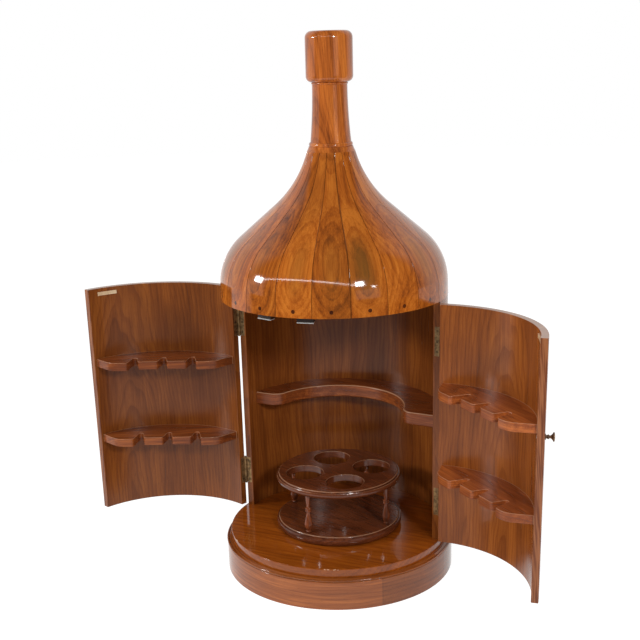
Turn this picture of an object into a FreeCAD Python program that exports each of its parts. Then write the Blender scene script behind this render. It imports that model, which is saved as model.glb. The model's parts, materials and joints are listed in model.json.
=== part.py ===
"""Bottle-shaped bar cabinet with a coopered dome, two quarter-round doors and a revolving bottle stand.

Millimetres, +Z up, front towards -Y. The origin is the centre of the underside of the base.
The doors are modelled standing open, as the cabinet is shown.
"""
import FreeCAD, Part
import math
import os

Vec = FreeCAD.Vector

# Driving dimensions: case
body_radius = 267.5
wall = 16.0
case_height = 589.0
overrun = 6.0
edge_ease = 1.0

# Base
plinth_reach = 15.5
plinth_wall = 18.0
plinth_height = 69.0
base_board_thickness = 16.0
bead_height = 7.0
bead_width = 19.0
bead_quirk_height = 0.9
bead_quirk_depth = 2.0
bead_roll_height = 3.1
bead_roll_reach = 1.0
bead_roll_setback = 4.2
bead_fillet_depth = 0.8
bead_fillet_height = 0.6
bead_ledge_bow = 0.5
deck_reach = 4.5
deck_thickness = 22.0
deck_edge_round = 1.6
deck_foot_ease = 0.7

# Dome of staves: the outline from the rim up, as a leaning band, a shoulder arc, a flank and a flare
dome_reach = 1.0
stave_count = 20
stave_joint_angle = 16.4
stave_thickness = 16.0
stave_groove = 0.7
rim_lean_angle = 1.9
rim_band_length = 33.2
shoulder_radius = 143.5
shoulder_turn_angle = 47.8
flare_radius = 246.0
flare_turn_angle = 33.6
crown_radius = 55.43
ceiling_thickness = 28.0
plug_radius = 4.4
plug_depth = 5.0
stave_screw_radius = 2.0
stave_screw_head_radius = 3.8
stave_screw_head_height = 2.4
stave_screw_length = 34.0
crown_block_height = 32.0

# Collar, neck and stopper
collar_height = 11.0
collar_top_radius = 50.6
neck_bead_radius = 50.0
neck_bead_height = 9.0
neck_foot_radius = 46.6
neck_top_radius = 39.8
neck_height = 139.0
neck_ring_height = 4.6
neck_ring_reach = 1.6
stopper_tenon_radius = 15.0
stopper_tenon_length = 24.0
stopper_radius = 53.2
stopper_height = 109.5
stopper_top_round = 15.0
stopper_foot_round = 13.5
dowel_radius = 10.0
dowel_neck_depth = 48.0
dowel_end_gap = 2.0

# Shelf
shelf_top_height = 302.0
shelf_thickness = 32.0
shelf_front_setback = 36.0
shelf_back_depth = 66.5
scoop_offset = 15.0
scoop_side_shift = -13.5
horn_corner_radius = 34.0
shelf_edge_round = 4.0

# Doors
door_floor_gap = 3.0
door_head_gap = 3.5
door_side_gap = 0.75
door_meeting_gap = 2.0
left_open_angle = 108.1
right_open_angle = 100.1

# Butt hinges
hinge_pin_offset = 2.5
hinge_length = 70.0
hinge_knuckle_radius = 3.9
hinge_knuckle_count = 5
hinge_knuckle_gap = 0.3
hinge_sweep_gap = 0.25
hinge_leaf_thickness = 1.5
hinge_leaf_width = 15.5
hinge_pin_radius = 1.8
hinge_pin_clearance = 0.05
hinge_pin_head_radius = 3.0
hinge_pin_head_height = 1.8
hinge_upper_drop = 95.0
hinge_lower_height = 98.0
screw_count_per_leaf = 3
screw_pitch = 25.0
screw_radius = 1.5
screw_head_radius = 2.8
screw_head_height = 1.3
screw_length = 14.0
screw_slot_width = 0.8

# Glass racks
rack_thickness = 20.5
upper_rack_top_height = 407.0
lower_rack_top_height = 206.0
right_rack_drop = 4.0
rack_depth_share = 0.4075
rack_end_gap = 8.0
rack_corner_share = 0.37
rack_edge_round = 1.2
outer_lobe_reach = 9.5
slot_count = 3
slot_pitch_share = 0.565
slot_mouth_share = 0.33
slot_mouth_round_share = 0.095
slot_eye_radius = 6.3
slot_depth = 36.0
left_slot_shift_share = 0.03
right_slot_shift_share = 0.12

# Catches and strike plates
strike_length = 50.0
strike_height = 9.0
strike_thickness = 1.4
strike_inset = 52.0
strike_drop = 13.0
strike_screw_length = 12.0
catch_length = 38.0
catch_depth = 15.0
catch_height = 13.0
catch_gap = 0.4
pole_plate_height = 2.4

# Knob
knob_height = 366.5
knob_inset = 40.0
knob_rosette_radius = 6.4
knob_rosette_height = 1.4
knob_stem_radius = 3.4
knob_ring_radius = 5.0
knob_ring_start = 3.6
knob_ring_length = 5.2
knob_waist_radius = 3.0
knob_waist_start = 10.2
knob_disc_radius = 10.2
knob_disc_start = 16.0
knob_length = 19.0
knob_disc_crown = 1.0
knob_screw_radius = 2.0
knob_screw_head_radius = 4.0
knob_screw_head_height = 2.0
knob_screw_grip = 12.0

# Revolving bottle stand
stand_rim = 26.4
stand_top_setback = 2.5
stand_floor_gap = 2.5
stand_base_thickness = 22.0
stand_top_thickness = 17.5
stand_top_height = 140.5
stand_turn_angle = -6.0
stand_edge_bead = 3.4
stand_edge_step = 1.6
bottle_hole_radius = 46.0
bottle_hole_web = 27.0
bottle_hole_turn_angle = 43.5
bottle_hole_ease = 1.5
bottle_count = 4
spindle_inset = 20.0
spindle_tenon_radius = 4.0
spindle_tenon_length = 9.0
spindle_foot_radius = 7.0
spindle_foot_height = 5.0
spindle_foot_neck_radius = 5.2
spindle_belly_radius = 10.5
spindle_belly_height = 21.0
spindle_throat_radius = 4.2
spindle_throat_height = 52.0
spindle_ring_radius = 7.6
spindle_ring_height = 6.0
spindle_shaft_radius = 5.6
pivot_radius = 6.0
pivot_clearance = 0.05
pivot_socket_depth = 16.0
pivot_tip_gap = 1.0
pivot_rise = 12.0
pivot_flange_radius = 55.0
pivot_flange_gap = 0.3

# Derived levels and radii
plinth_radius = body_radius + plinth_reach
bead_base = plinth_height
deck_base = bead_base + bead_height
deck_radius = body_radius + deck_reach
deck_top = deck_base + deck_thickness
rim_level = deck_top + case_height
door_base = deck_top + door_floor_gap
door_top = rim_level - door_head_gap
inner_radius = body_radius - wall
dome_radius = body_radius + dome_reach
plug_level = rim_level + ceiling_thickness / 2
shelf_top = deck_top + shelf_top_height
scoop_radius = inner_radius - shelf_back_depth - scoop_offset
pin_radius_from_axis = body_radius + hinge_pin_offset
rack_chord_distance = inner_radius * (1 - rack_depth_share)
rack_front_distance = rack_chord_distance - outer_lobe_reach
rack_corner_along = rack_front_distance - rack_end_gap * math.sqrt(2)
slot_pitch = rack_corner_along * slot_pitch_share
slot_eye_distance = rack_chord_distance + slot_depth - slot_eye_radius
bottle_hole_centre_radius = (bottle_hole_radius + bottle_hole_web / 2) / math.sin(math.pi / bottle_count)
stand_radius = bottle_hole_centre_radius + bottle_hole_radius + stand_rim
spindle_centre_radius = stand_radius - spindle_inset
stand_base_bottom = deck_top + stand_floor_gap
stand_base_top = stand_base_bottom + stand_base_thickness
stand_top_level = deck_top + stand_top_height
stand_top_bottom = stand_top_level - stand_top_thickness
full_turn = 360.0
angle_slack = 0.01
half_turn = full_turn / 2
quarter_turn = full_turn / 4

Z_AXIS = Vec(0, 0, 1)
X_AXIS = Vec(1, 0, 0)
ORIGIN = Vec(0, 0, 0)


def disc(radius, base, height):
    """A solid disc about the axis of the cabinet."""
    return Part.makeCylinder(radius, height, Vec(0, 0, base))


def ring(outer, inner, base, height):
    """A disc with a round hole."""
    return disc(outer, base, height).cut(disc(inner, base - overrun, height + 2 * overrun))


def block(low, high):
    """A box between two corners."""
    return Part.makeBox(high.x - low.x, high.y - low.y, high.z - low.z, low)


def turned(edges):
    """A solid of revolution from a closed outline in the XZ plane."""
    face = Part.Face(Part.Wire(edges))
    return face.revolve(ORIGIN, Z_AXIS, full_turn)


def straight(start, end):
    """A straight edge between two (radius, height) pairs."""
    return Part.LineSegment(Vec(start[0], 0, start[1]), Vec(end[0], 0, end[1])).toShape()


def bow(start, middle, end):
    """An arc through three (radius, height) pairs."""
    points = [Vec(r, 0, z) for r, z in (start, middle, end)]
    return Part.Arc(*points).toShape()


def lathe_work(points):
    """A turned piece from (radius, height) points, where a triple marked True is the middle of an arc."""
    edges = []
    previous = points[0]
    arc_middle = None
    for point in points[1:]:
        if len(point) == 3:
            arc_middle = point[:2]
            continue
        if arc_middle:
            edges.append(bow(previous, arc_middle, point))
        else:
            edges.append(straight(previous, point))
        previous = point
        arc_middle = None
    edges.append(straight(previous, points[0]))
    return turned(edges)


def spun(shape, angle, centre=ORIGIN):
    """A copy turned about an upright line."""
    copy = shape.copy()
    copy.rotate(centre, Z_AXIS, angle)
    return copy


def mirrored(shape):
    """A copy on the other side of the cabinet."""
    return shape.mirror(ORIGIN, X_AXIS)


def upright_edges(shape, places, reach):
    """The vertical edges that stand within reach of the given (x, y) places."""
    found = []
    for edge in shape.Edges:
        ends = [v.Point for v in edge.Vertexes]
        if len(ends) != 2 or abs(ends[0].z - ends[1].z) < reach:
            continue
        flat_run = math.hypot(ends[0].x - ends[1].x, ends[0].y - ends[1].y)
        near = [p for p in places if math.hypot(ends[0].x - p[0], ends[0].y - p[1]) < reach]
        if flat_run < reach and near:
            found.append(edge)
    return found


def countersunk_screw(head_radius, head_height, shank_radius, length):
    """A wood screw that points down from its flush head at the origin."""
    points = [(0, 0), (head_radius, 0), (shank_radius, -head_height)]
    points += [(shank_radius, shank_radius * 2 - length), (0, -length)]
    reach = head_radius + overrun
    half = screw_slot_width / 2
    slot = block(Vec(-reach, -half, -screw_slot_width), Vec(reach, half, overrun))
    return lathe_work(points).cut(slot)


# Base

def base_board():
    return disc(plinth_radius - plinth_wall, 0, base_board_thickness)


def round_edges(shape, radius, level):
    """The level circular edges of a radius at a height."""
    found = []
    for edge in shape.Edges:
        curve = edge.Curve
        at_level = abs(edge.BoundBox.ZMin - level) < edge_ease / 10
        if isinstance(curve, Part.Circle) and at_level and abs(curve.Radius - radius) < edge_ease / 10:
            found.append(edge)
    return found


def plinth_ring():
    """The plinth with its outer top edge eased."""
    plinth = ring(plinth_radius, plinth_radius - plinth_wall, 0, plinth_height)
    return plinth.makeFillet(edge_ease, round_edges(plinth, plinth_radius, plinth_height))


def plinth_bead():
    """The moulding between plinth and deck: a quirk, a roll, a narrow fillet and a ledge up to the deck."""
    land = plinth_radius - bead_quirk_depth
    inner = plinth_radius - bead_width
    roll_low = bead_base + bead_quirk_height
    roll_top = roll_low + bead_roll_height
    roll_end = plinth_radius - bead_roll_setback
    ledge = roll_end - bead_fillet_depth
    ledge_low = roll_top + bead_fillet_height
    bow_middle = ((ledge + deck_radius) / 2 + bead_ledge_bow, (ledge_low + deck_base) / 2 + bead_ledge_bow)
    points = [(inner, bead_base), (land, bead_base), (land, roll_low)]
    points += [(plinth_radius + bead_roll_reach, (roll_low + roll_top) / 2, True), (roll_end, roll_top)]
    points += [(ledge, roll_top), (ledge, ledge_low), bow_middle + (True,), (deck_radius, deck_base)]
    points += [(inner, deck_base)]
    return lathe_work(points)


def deck_board():
    """The raised floor, bored for the pivot of the bottle stand."""
    board = disc(deck_radius, deck_base, deck_thickness)
    board = board.makeFillet(deck_edge_round, round_edges(board, deck_radius, deck_top))
    board = board.makeChamfer(deck_foot_ease, round_edges(board, deck_radius, deck_base))
    return board.cut(disc(pivot_radius, deck_top - pivot_socket_depth, pivot_socket_depth + overrun))


# Case

def left_hinge_levels():
    """The middles of the two hinges."""
    return [deck_top + hinge_lower_height, rim_level - hinge_upper_drop]


def hinge_half(is_door):
    """One leaf with its knuckles about the pin at the origin, leaf towards +X, upright and centred."""
    side = -1 if is_door else 1
    face = side * door_side_gap
    back = side * (door_side_gap + hinge_leaf_thickness)
    half = hinge_length / 2
    leaf = block(Vec(0, min(face, back), -half), Vec(hinge_leaf_width, max(face, back), half))
    bore = Part.makeCylinder(hinge_pin_radius + hinge_pin_clearance, hinge_length + 2 * overrun,
                             Vec(0, 0, -half - overrun))
    step = hinge_length / hinge_knuckle_count
    knuckles = []
    clearings = []
    for index in range(hinge_knuckle_count):
        low = -half + index * step
        own = (index % 2 == 1) == is_door
        if own:
            start = low if index == 0 else low + hinge_knuckle_gap / 2
            end = low + step if index == hinge_knuckle_count - 1 else low + step - hinge_knuckle_gap / 2
            knuckles.append(Part.makeCylinder(hinge_knuckle_radius, end - start, Vec(0, 0, start)))
        else:
            clearings.append(Part.makeCylinder(hinge_knuckle_radius + hinge_sweep_gap, step,
                                               Vec(0, 0, low)))
    half_hinge = leaf.multiFuse(knuckles)
    for clearing in clearings:
        half_hinge = half_hinge.cut(clearing)
    return half_hinge.cut(bore).removeSplitter()


def hinge_pin():
    """The pin with a flat head at each end."""
    half = hinge_length / 2
    points = [(0, -half - hinge_pin_head_height), (hinge_pin_head_radius, -half - hinge_pin_head_height)]
    points += [(hinge_pin_head_radius, -half), (hinge_pin_radius, -half), (hinge_pin_radius, half)]
    points += [(hinge_pin_head_radius, half), (hinge_pin_head_radius, half + hinge_pin_head_height)]
    points += [(0, half + hinge_pin_head_height)]
    return lathe_work(points)


def leaf_screws(is_door):
    """The screws of one leaf, driven from its open face into the wood behind it."""
    side = -1 if is_door else 1
    across = (hinge_pin_offset + hinge_leaf_width) / 2
    screw = countersunk_screw(screw_head_radius, screw_head_height, screw_radius, screw_length)
    screw.rotate(ORIGIN, X_AXIS, side * quarter_turn)
    screws = []
    for index in range(screw_count_per_leaf):
        copy = screw.copy()
        level = (index - (screw_count_per_leaf - 1) / 2) * screw_pitch
        copy.translate(Vec(across, side * door_side_gap, level))
        screws.append(copy)
    return screws


def hinge_mortise(is_door):
    """The leaf's pocket in the edge of the panel, and the hollow that clears the knuckles."""
    side = -1 if is_door else 1
    face = side * (door_side_gap - overrun)
    back = side * (door_side_gap + hinge_leaf_thickness)
    half = hinge_length / 2
    pocket = block(Vec(0, min(face, back), -half), Vec(hinge_leaf_width, max(face, back), half))
    end = half + hinge_pin_head_height + hinge_sweep_gap
    relief = Part.makeCylinder(hinge_knuckle_radius + hinge_sweep_gap, 2 * end, Vec(0, 0, -end))
    return pocket.fuse(relief)


def at_left_hinges(shape):
    """Copies of a hinge piece at both hinges of the left side."""
    copies = []
    for level in left_hinge_levels():
        copy = shape.copy()
        copy.translate(Vec(-pin_radius_from_axis, 0, level))
        copies.append(copy)
    return copies


def left_hinge_set(is_door):
    """Leaves and screws of the left side, and the wood that they take out."""
    screws = []
    for screw in leaf_screws(is_door):
        screws += at_left_hinges(screw)
    leaves = []
    for leaf in at_left_hinges(hinge_half(is_door)):
        leaves.append(leaf.cut(Part.makeCompound(screws)))
    return leaves, screws, at_left_hinges(hinge_mortise(is_door))


def rear_shell(screws, mortises):
    """The fixed half-round back of the case."""
    shell = ring(body_radius, inner_radius, deck_top, case_height)
    reach = body_radius + overrun
    low_corner = Vec(-reach, door_side_gap, deck_top - overrun)
    back_half = block(low_corner, Vec(reach, reach, rim_level + overrun))
    shell = shell.common(back_half)
    return shell.cut(Part.makeCompound(mortises + screws))


def shelf():
    """The serpentine shelf: a crescent along the back with a horn at each side."""
    base = shelf_top - shelf_thickness
    slab = disc(inner_radius, base, shelf_thickness)
    front = shelf_front_setback
    reach = body_radius + overrun
    slab = slab.common(block(Vec(-reach, front, base - overrun), Vec(reach, reach, shelf_top + overrun)))
    scoop_foot = Vec(scoop_side_shift, scoop_offset, base - overrun)
    slab = slab.cut(Part.makeCylinder(scoop_radius, shelf_thickness + 2 * overrun, scoop_foot))
    corner = math.sqrt(scoop_radius ** 2 - (front - scoop_offset) ** 2)
    corners = [(scoop_side_shift + side * corner, front) for side in (-1, 1)]
    tips = upright_edges(slab, corners, edge_ease)
    slab = slab.makeFillet(horn_corner_radius, tips)
    rims = []
    for edge in slab.Edges:
        box = edge.BoundBox
        middle = edge.valueAt((edge.FirstParameter + edge.LastParameter) / 2)
        level = box.ZMax - box.ZMin < edge_ease
        inside = math.hypot(middle.x, middle.y) < inner_radius - edge_ease
        if level and inside:
            rims.append(edge)
    return slab.makeFillet(shelf_edge_round, rims)


# Dome

def walk_outline(start, heading, steps):
    """Edges and corner points of an outline of (radius, height) from lines and arcs that run on smoothly.

    The heading is the lean from upright towards the axis. A step is (length, 0) for a line and
    (radius, turn) for an arc, where a positive turn leans further in.
    """
    edges = []
    corners = [start]
    for size, turn in steps:
        r, z = corners[-1]
        lean = math.radians(heading)
        if turn == 0:
            end = (r - size * math.sin(lean), z + size * math.cos(lean))
            edges.append(straight((r, z), end))
        else:
            side = math.copysign(1, turn)
            centre = (r - side * size * math.cos(lean), z - side * size * math.sin(lean))
            points = []
            for share in (1 / 2, 1):
                angle = math.radians(heading + turn * share)
                points.append((centre[0] + side * size * math.cos(angle),
                               centre[1] + side * size * math.sin(angle)))
            edges.append(bow((r, z), points[0], points[1]))
            end = points[1]
            heading += turn
        corners.append(end)
    return edges, corners


def flank_length():
    """Length of the straight flank that brings the outline in to the crown."""
    lean = math.radians(rim_lean_angle)
    steep = math.radians(rim_lean_angle + shoulder_turn_angle)
    top = math.radians(rim_lean_angle + shoulder_turn_angle - flare_turn_angle)
    inward = rim_band_length * math.sin(lean)
    inward += shoulder_radius * (math.cos(lean) - math.cos(steep))
    inward += flare_radius * (math.cos(top) - math.cos(steep))
    return (dome_radius - crown_radius - inward) / math.sin(steep)


def dome_outline(depth):
    """The dome's outline at a depth below its outer face, from rim level up."""
    lean = math.radians(rim_lean_angle)
    start = (dome_radius - depth / math.cos(lean), rim_level)
    steps = [(rim_band_length - depth * math.tan(lean), 0)]
    steps += [(shoulder_radius - depth, shoulder_turn_angle), (flank_length(), 0)]
    steps += [(flare_radius + depth, -flare_turn_angle)]
    return walk_outline(start, rim_lean_angle, steps)


OUTER_EDGES, OUTER_CORNERS = dome_outline(0)
INNER_EDGES, INNER_CORNERS = dome_outline(stave_thickness)
crown_level = OUTER_CORNERS[-1][1]
crown_inner_radius = INNER_CORNERS[-1][0]


def dome_solid(edges, corners, top):
    """Everything inside an outline, up to a level."""
    last = corners[-1]
    close = [straight(last, (last[0], top))] if top > last[1] + edge_ease / 100 else []
    close += [straight((last[0], top), (0, top)), straight((0, top), (0, rim_level))]
    close += [straight((0, rim_level), corners[0])]
    return turned(edges + close)


def dome_core():
    """The hollow inside the staves, as a solid."""
    return dome_solid(INNER_EDGES, INNER_CORNERS, crown_level)


def radial_rod(radius, start, end, level):
    """A round rod that runs outwards along +X."""
    return Part.makeCylinder(radius, end - start, Vec(start, 0, level), X_AXIS)


def plug_seat():
    """Radius at which a plug's inner end lies."""
    return dome_radius - plug_depth


def stave_screw():
    """A flat-headed screw under its plug, driven inwards."""
    seat = plug_seat()
    head = radial_rod(stave_screw_head_radius, seat - stave_screw_head_height, seat, plug_level)
    shank = radial_rod(stave_screw_radius, seat - stave_screw_length, seat, plug_level)
    return head.fuse(shank).removeSplitter()


def dome_plug():
    """A wood plug, dressed flush with the dome."""
    rod = radial_rod(plug_radius, plug_seat(), dome_radius + overrun, plug_level)
    return rod.common(dome_solid(OUTER_EDGES, OUTER_CORNERS, crown_level))


def stave():
    """One stave about the XZ plane, eased along its outer edges and bored for its screw and plug."""
    top = [straight(OUTER_CORNERS[-1], (crown_inner_radius, crown_level))]
    top += [straight((crown_inner_radius, crown_level), INNER_CORNERS[-1])]
    bottom = [straight(INNER_CORNERS[0], OUTER_CORNERS[0])]
    face = Part.Face(Part.Wire(Part.sortEdges(OUTER_EDGES + top + INNER_EDGES + bottom)[0]))
    pitch = full_turn / stave_count
    face.rotate(ORIGIN, Z_AXIS, -pitch / 2)
    solid = face.revolve(ORIGIN, Z_AXIS, pitch)
    long_edges = []
    for edge in solid.Edges:
        middle = edge.valueAt((edge.FirstParameter + edge.LastParameter) / 2)
        radius = math.hypot(middle.x, middle.y)
        on_side = abs(abs(math.degrees(math.atan2(middle.y, middle.x))) - pitch / 2) < angle_slack
        spot = Part.Vertex(Vec(radius, 0, middle.z))
        off_face = min(spot.distToShape(outer)[0] for outer in OUTER_EDGES)
        if on_side and off_face < stave_groove / 10:
            long_edges.append(edge)
    solid = solid.makeChamfer(stave_groove, long_edges)
    hole = radial_rod(plug_radius, plug_seat(), dome_radius + overrun, plug_level)
    return solid.cut(hole).cut(stave_screw())


def around_dome(shape):
    """Copies of a stave piece at every stave."""
    pitch = full_turn / stave_count
    first = stave_joint_angle + pitch / 2
    return [spun(shape, first + index * pitch) for index in range(stave_count)]


def ceiling_board():
    """The round board inside the rim that the staves are screwed to."""
    board = dome_core().common(disc(body_radius, rim_level, ceiling_thickness))
    return board.cut(Part.makeCompound(around_dome(stave_screw())))


def crown_block():
    """The turned block inside the tops of the staves, bored for the dowel."""
    low = crown_level - crown_block_height
    return dome_core().common(disc(body_radius, low, crown_block_height)).cut(dowel_bore())


def dowel_span():
    """Lowest and highest level of the crown dowel."""
    return crown_level - crown_block_height, crown_level + collar_height + dowel_neck_depth


def dowel_bore():
    low, high = dowel_span()
    return disc(dowel_radius, low - overrun, high - low + overrun + dowel_end_gap)


def crown_dowel():
    low, high = dowel_span()
    return disc(dowel_radius, low, high - low)


def collar():
    """The flared ring that covers the tops of the staves."""
    top = crown_level + collar_height
    middle = ((crown_radius + collar_top_radius) / 2 - edge_ease / 2, crown_level + collar_height / 2, True)
    points = [(0, crown_level), (crown_radius, crown_level), middle, (collar_top_radius, top), (0, top)]
    return lathe_work(points).cut(dowel_bore())


def neck():
    """The neck: a bead at the foot, a slightly flared shaft, a ring under the stopper and a tenon."""
    base = crown_level + collar_height
    bead_top = base + neck_bead_height
    top = base + neck_height
    ring_low = top - neck_ring_height
    shaft_middle = (bead_top + ring_low) / 2
    middle_radius = neck_top_radius + (neck_foot_radius - neck_top_radius) / 4
    bead_root = neck_bead_radius - edge_ease
    points = [(0, base), (bead_root, base), (neck_bead_radius, base + neck_bead_height * 2 / 5, True)]
    points += [(neck_foot_radius + edge_ease, bead_top), (neck_foot_radius, bead_top)]
    points += [(middle_radius, shaft_middle, True), (neck_top_radius, ring_low)]
    points += [(neck_top_radius + neck_ring_reach, (ring_low + top) / 2, True), (neck_top_radius, top)]
    points += [(stopper_tenon_radius, top), (stopper_tenon_radius, top + stopper_tenon_length)]
    points += [(0, top + stopper_tenon_length)]
    return lathe_work(points).cut(dowel_bore())


def stopper():
    """The stopper with rounded ends, bored for the neck's tenon."""
    base = crown_level + collar_height + neck_height
    top = base + stopper_height
    slant = 1 - math.sqrt(1 / 2)
    foot = stopper_foot_round
    head = stopper_top_round
    points = [(0, base), (stopper_radius - foot, base)]
    points += [(stopper_radius - foot * slant, base + foot * slant, True), (stopper_radius, base + foot)]
    points += [(stopper_radius, top - head)]
    points += [(stopper_radius - head * slant, top - head * slant, True), (stopper_radius - head, top)]
    points += [(0, top)]
    socket = disc(stopper_tenon_radius, base - overrun, stopper_tenon_length + overrun + dowel_end_gap)
    return lathe_work(points).cut(socket)


# Doors, built closed on the left side

def door_panel(screws, mortises):
    """A quarter-round panel with eased edges."""
    panel = ring(body_radius, inner_radius, door_base, door_top - door_base)
    reach = body_radius + overrun
    quarter = block(Vec(-reach, -reach, door_base - overrun),
                    Vec(-door_meeting_gap / 2, -door_side_gap, door_top + overrun))
    panel = panel.common(quarter)
    panel = panel.makeFillet(edge_ease, panel.Edges)
    return panel.cut(Part.makeCompound(mortises + screws))


def door_frame_point(along, out, level):
    """A place along the door from its middle towards the free edge, and out from the axis."""
    diagonal = math.sqrt(1 / 2)
    return Vec((along - out) * diagonal, -(along + out) * diagonal, level)


def prism(points, base, height):
    """An upright prism over a polygon."""
    wire = Part.makePolygon([Vec(p.x, p.y, base) for p in points + points[:1]])
    return Part.Face(wire).extrude(Vec(0, 0, height))


def rack_prism(corners, base):
    """A prism through a rack over (along, out) corners."""
    points = [door_frame_point(along, out, base) for along, out in corners]
    return prism(points, base - overrun, rack_thickness + 2 * overrun)


def slot_places(shift_share):
    """Distances of the slots along the rack from its middle."""
    middle = (slot_count - 1) / 2
    return [(index - middle + shift_share) * slot_pitch for index in range(slot_count)]


def slot_half_width(out):
    """Half the width of a slot, which tapers from its mouth to its eye."""
    share = (slot_eye_distance - out) / (slot_eye_distance - rack_chord_distance)
    mouth_half = slot_pitch * slot_mouth_share / 2
    return slot_eye_radius + (mouth_half - slot_eye_radius) * share


def rack_slot(along, base):
    """One tapered slot with a round eye at its end."""
    mouth = rack_front_distance - overrun
    wide = slot_half_width(mouth)
    corners = [(along - wide, mouth), (along + wide, mouth)]
    corners += [(along + slot_eye_radius, slot_eye_distance), (along - slot_eye_radius, slot_eye_distance)]
    centre = door_frame_point(along, slot_eye_distance, base - overrun)
    eye = Part.makeCylinder(slot_eye_radius, rack_thickness + 2 * overrun, centre)
    return rack_prism(corners, base).fuse(eye)


def rack_corner_edges(board, corners):
    """The upright edges of a rack at (along, out) corners."""
    points = [door_frame_point(along, out, 0) for along, out in corners]
    return upright_edges(board, [(p.x, p.y) for p in points], edge_ease)


def lobe_corners(places):
    """The corners beside the slots; those of the two outer lobes stand further in."""
    corners = []
    for along in places:
        for side in (-1, 1):
            outer = along == places[0] and side < 0 or along == places[-1] and side > 0
            out = rack_front_distance if outer else rack_chord_distance
            corners.append((along + side * slot_half_width(out), out))
    return corners


def glass_rack(top, shift_share):
    """A rack board with lobes between keyhole slots for stems, built closed on the left side."""
    base = top - rack_thickness
    front = rack_front_distance
    reach = body_radius + overrun
    board = disc(inner_radius, base, rack_thickness)
    inner_corner = Vec(-rack_end_gap, -rack_end_gap, top + overrun)
    board = board.common(block(Vec(-reach, -reach, base - overrun), inner_corner))
    board = board.cut(rack_prism([(-reach, -reach), (reach, -reach), (reach, front), (-reach, front)], base))
    places = slot_places(shift_share)
    low, high = places[0], places[-1]
    recess = [(low, front - overrun), (high, front - overrun)]
    recess += [(high, rack_chord_distance), (low, rack_chord_distance)]
    board = board.cut(rack_prism(recess, base))
    for along in places:
        board = board.cut(rack_slot(along, base))
    mouth_round = slot_pitch * slot_mouth_round_share
    board = board.makeFillet(mouth_round, rack_corner_edges(board, lobe_corners(places)))
    ends = [(side * rack_corner_along, front) for side in (-1, 1)]
    board = board.makeFillet(rack_corner_along * rack_corner_share, rack_corner_edges(board, ends))
    rims = []
    for edge in board.Edges:
        box = edge.BoundBox
        middle = edge.valueAt((edge.FirstParameter + edge.LastParameter) / 2)
        level = box.ZMax - box.ZMin < edge_ease / 10
        if level and math.hypot(middle.x, middle.y) < inner_radius - edge_ease:
            rims.append(edge)
    return board.makeFillet(rack_edge_round, rims)


def arc_strip(outer, inner, middle_angle, length, base, height):
    """A curved strip about the cabinet's axis."""
    spread = math.degrees(length / outer)
    strip = Part.makeCylinder(outer, height, Vec(0, 0, base), Z_AXIS, spread)
    strip = strip.cut(disc(inner, base - overrun, height + 2 * overrun))
    return spun(strip, middle_angle - spread / 2)


def strike_angle():
    """Where the strike plate and the catch face each other on the left side."""
    return half_turn + quarter_turn - math.degrees(strike_inset / inner_radius)


def strike_level():
    return rim_level - strike_drop - strike_height / 2


def strike_screws():
    """The two screws of the strike plate."""
    screw = countersunk_screw(screw_head_radius, strike_thickness, screw_radius, strike_screw_length)
    screw.rotate(ORIGIN, Vec(0, 1, 0), -quarter_turn)
    screw.translate(Vec(inner_radius - strike_thickness, 0, strike_level()))
    spread = math.degrees(strike_length / inner_radius)
    return [spun(screw, strike_angle() + s * spread / 3) for s in (-1, 1)]


def strike_plate():
    """The curved plate on the inside of the door that the catch holds."""
    outer = inner_radius
    plate = arc_strip(outer, outer - strike_thickness, strike_angle(), strike_length,
                      strike_level() - strike_height / 2, strike_height)
    return plate.cut(Part.makeCompound(strike_screws()))


def catch_face_radius():
    return inner_radius - strike_thickness - catch_gap


def catch_body():
    """The catch's housing under the ceiling board."""
    face = catch_face_radius() - edge_ease
    low = rim_level - catch_height
    return arc_strip(face, face - catch_depth, strike_angle(), catch_length, low, catch_height)


def pole_plate():
    """The steel plate under the catch's housing, which meets the strike plate."""
    face = catch_face_radius()
    low = rim_level - catch_height - pole_plate_height
    return arc_strip(face, face - catch_depth, strike_angle(), catch_length, low, pole_plate_height)


def catch_screws():
    """Two screws up through each catch into the ceiling board."""
    length = screw_length + catch_height
    screw = countersunk_screw(screw_head_radius, screw_head_height, screw_radius, length)
    screw.rotate(ORIGIN, X_AXIS, half_turn)
    reach = catch_face_radius() - edge_ease - catch_depth / 2
    screw.translate(Vec(reach, 0, rim_level - catch_height - pole_plate_height))
    spread = math.degrees(catch_length / inner_radius)
    return [spun(screw, strike_angle() + s * spread / 4) for s in (-1, 1)]


def knob_angle():
    return half_turn + quarter_turn - math.degrees(knob_inset / body_radius)


def knob_screw():
    """The screw through the door into the knob, lying along +X with its head inside."""
    level = deck_top + knob_height
    head = radial_rod(knob_screw_head_radius, inner_radius - knob_screw_head_height, inner_radius, level)
    shank = radial_rod(knob_screw_radius, inner_radius - knob_screw_head_height,
                       body_radius + knob_screw_grip, level)
    return spun(head.fuse(shank).removeSplitter(), knob_angle())


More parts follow.
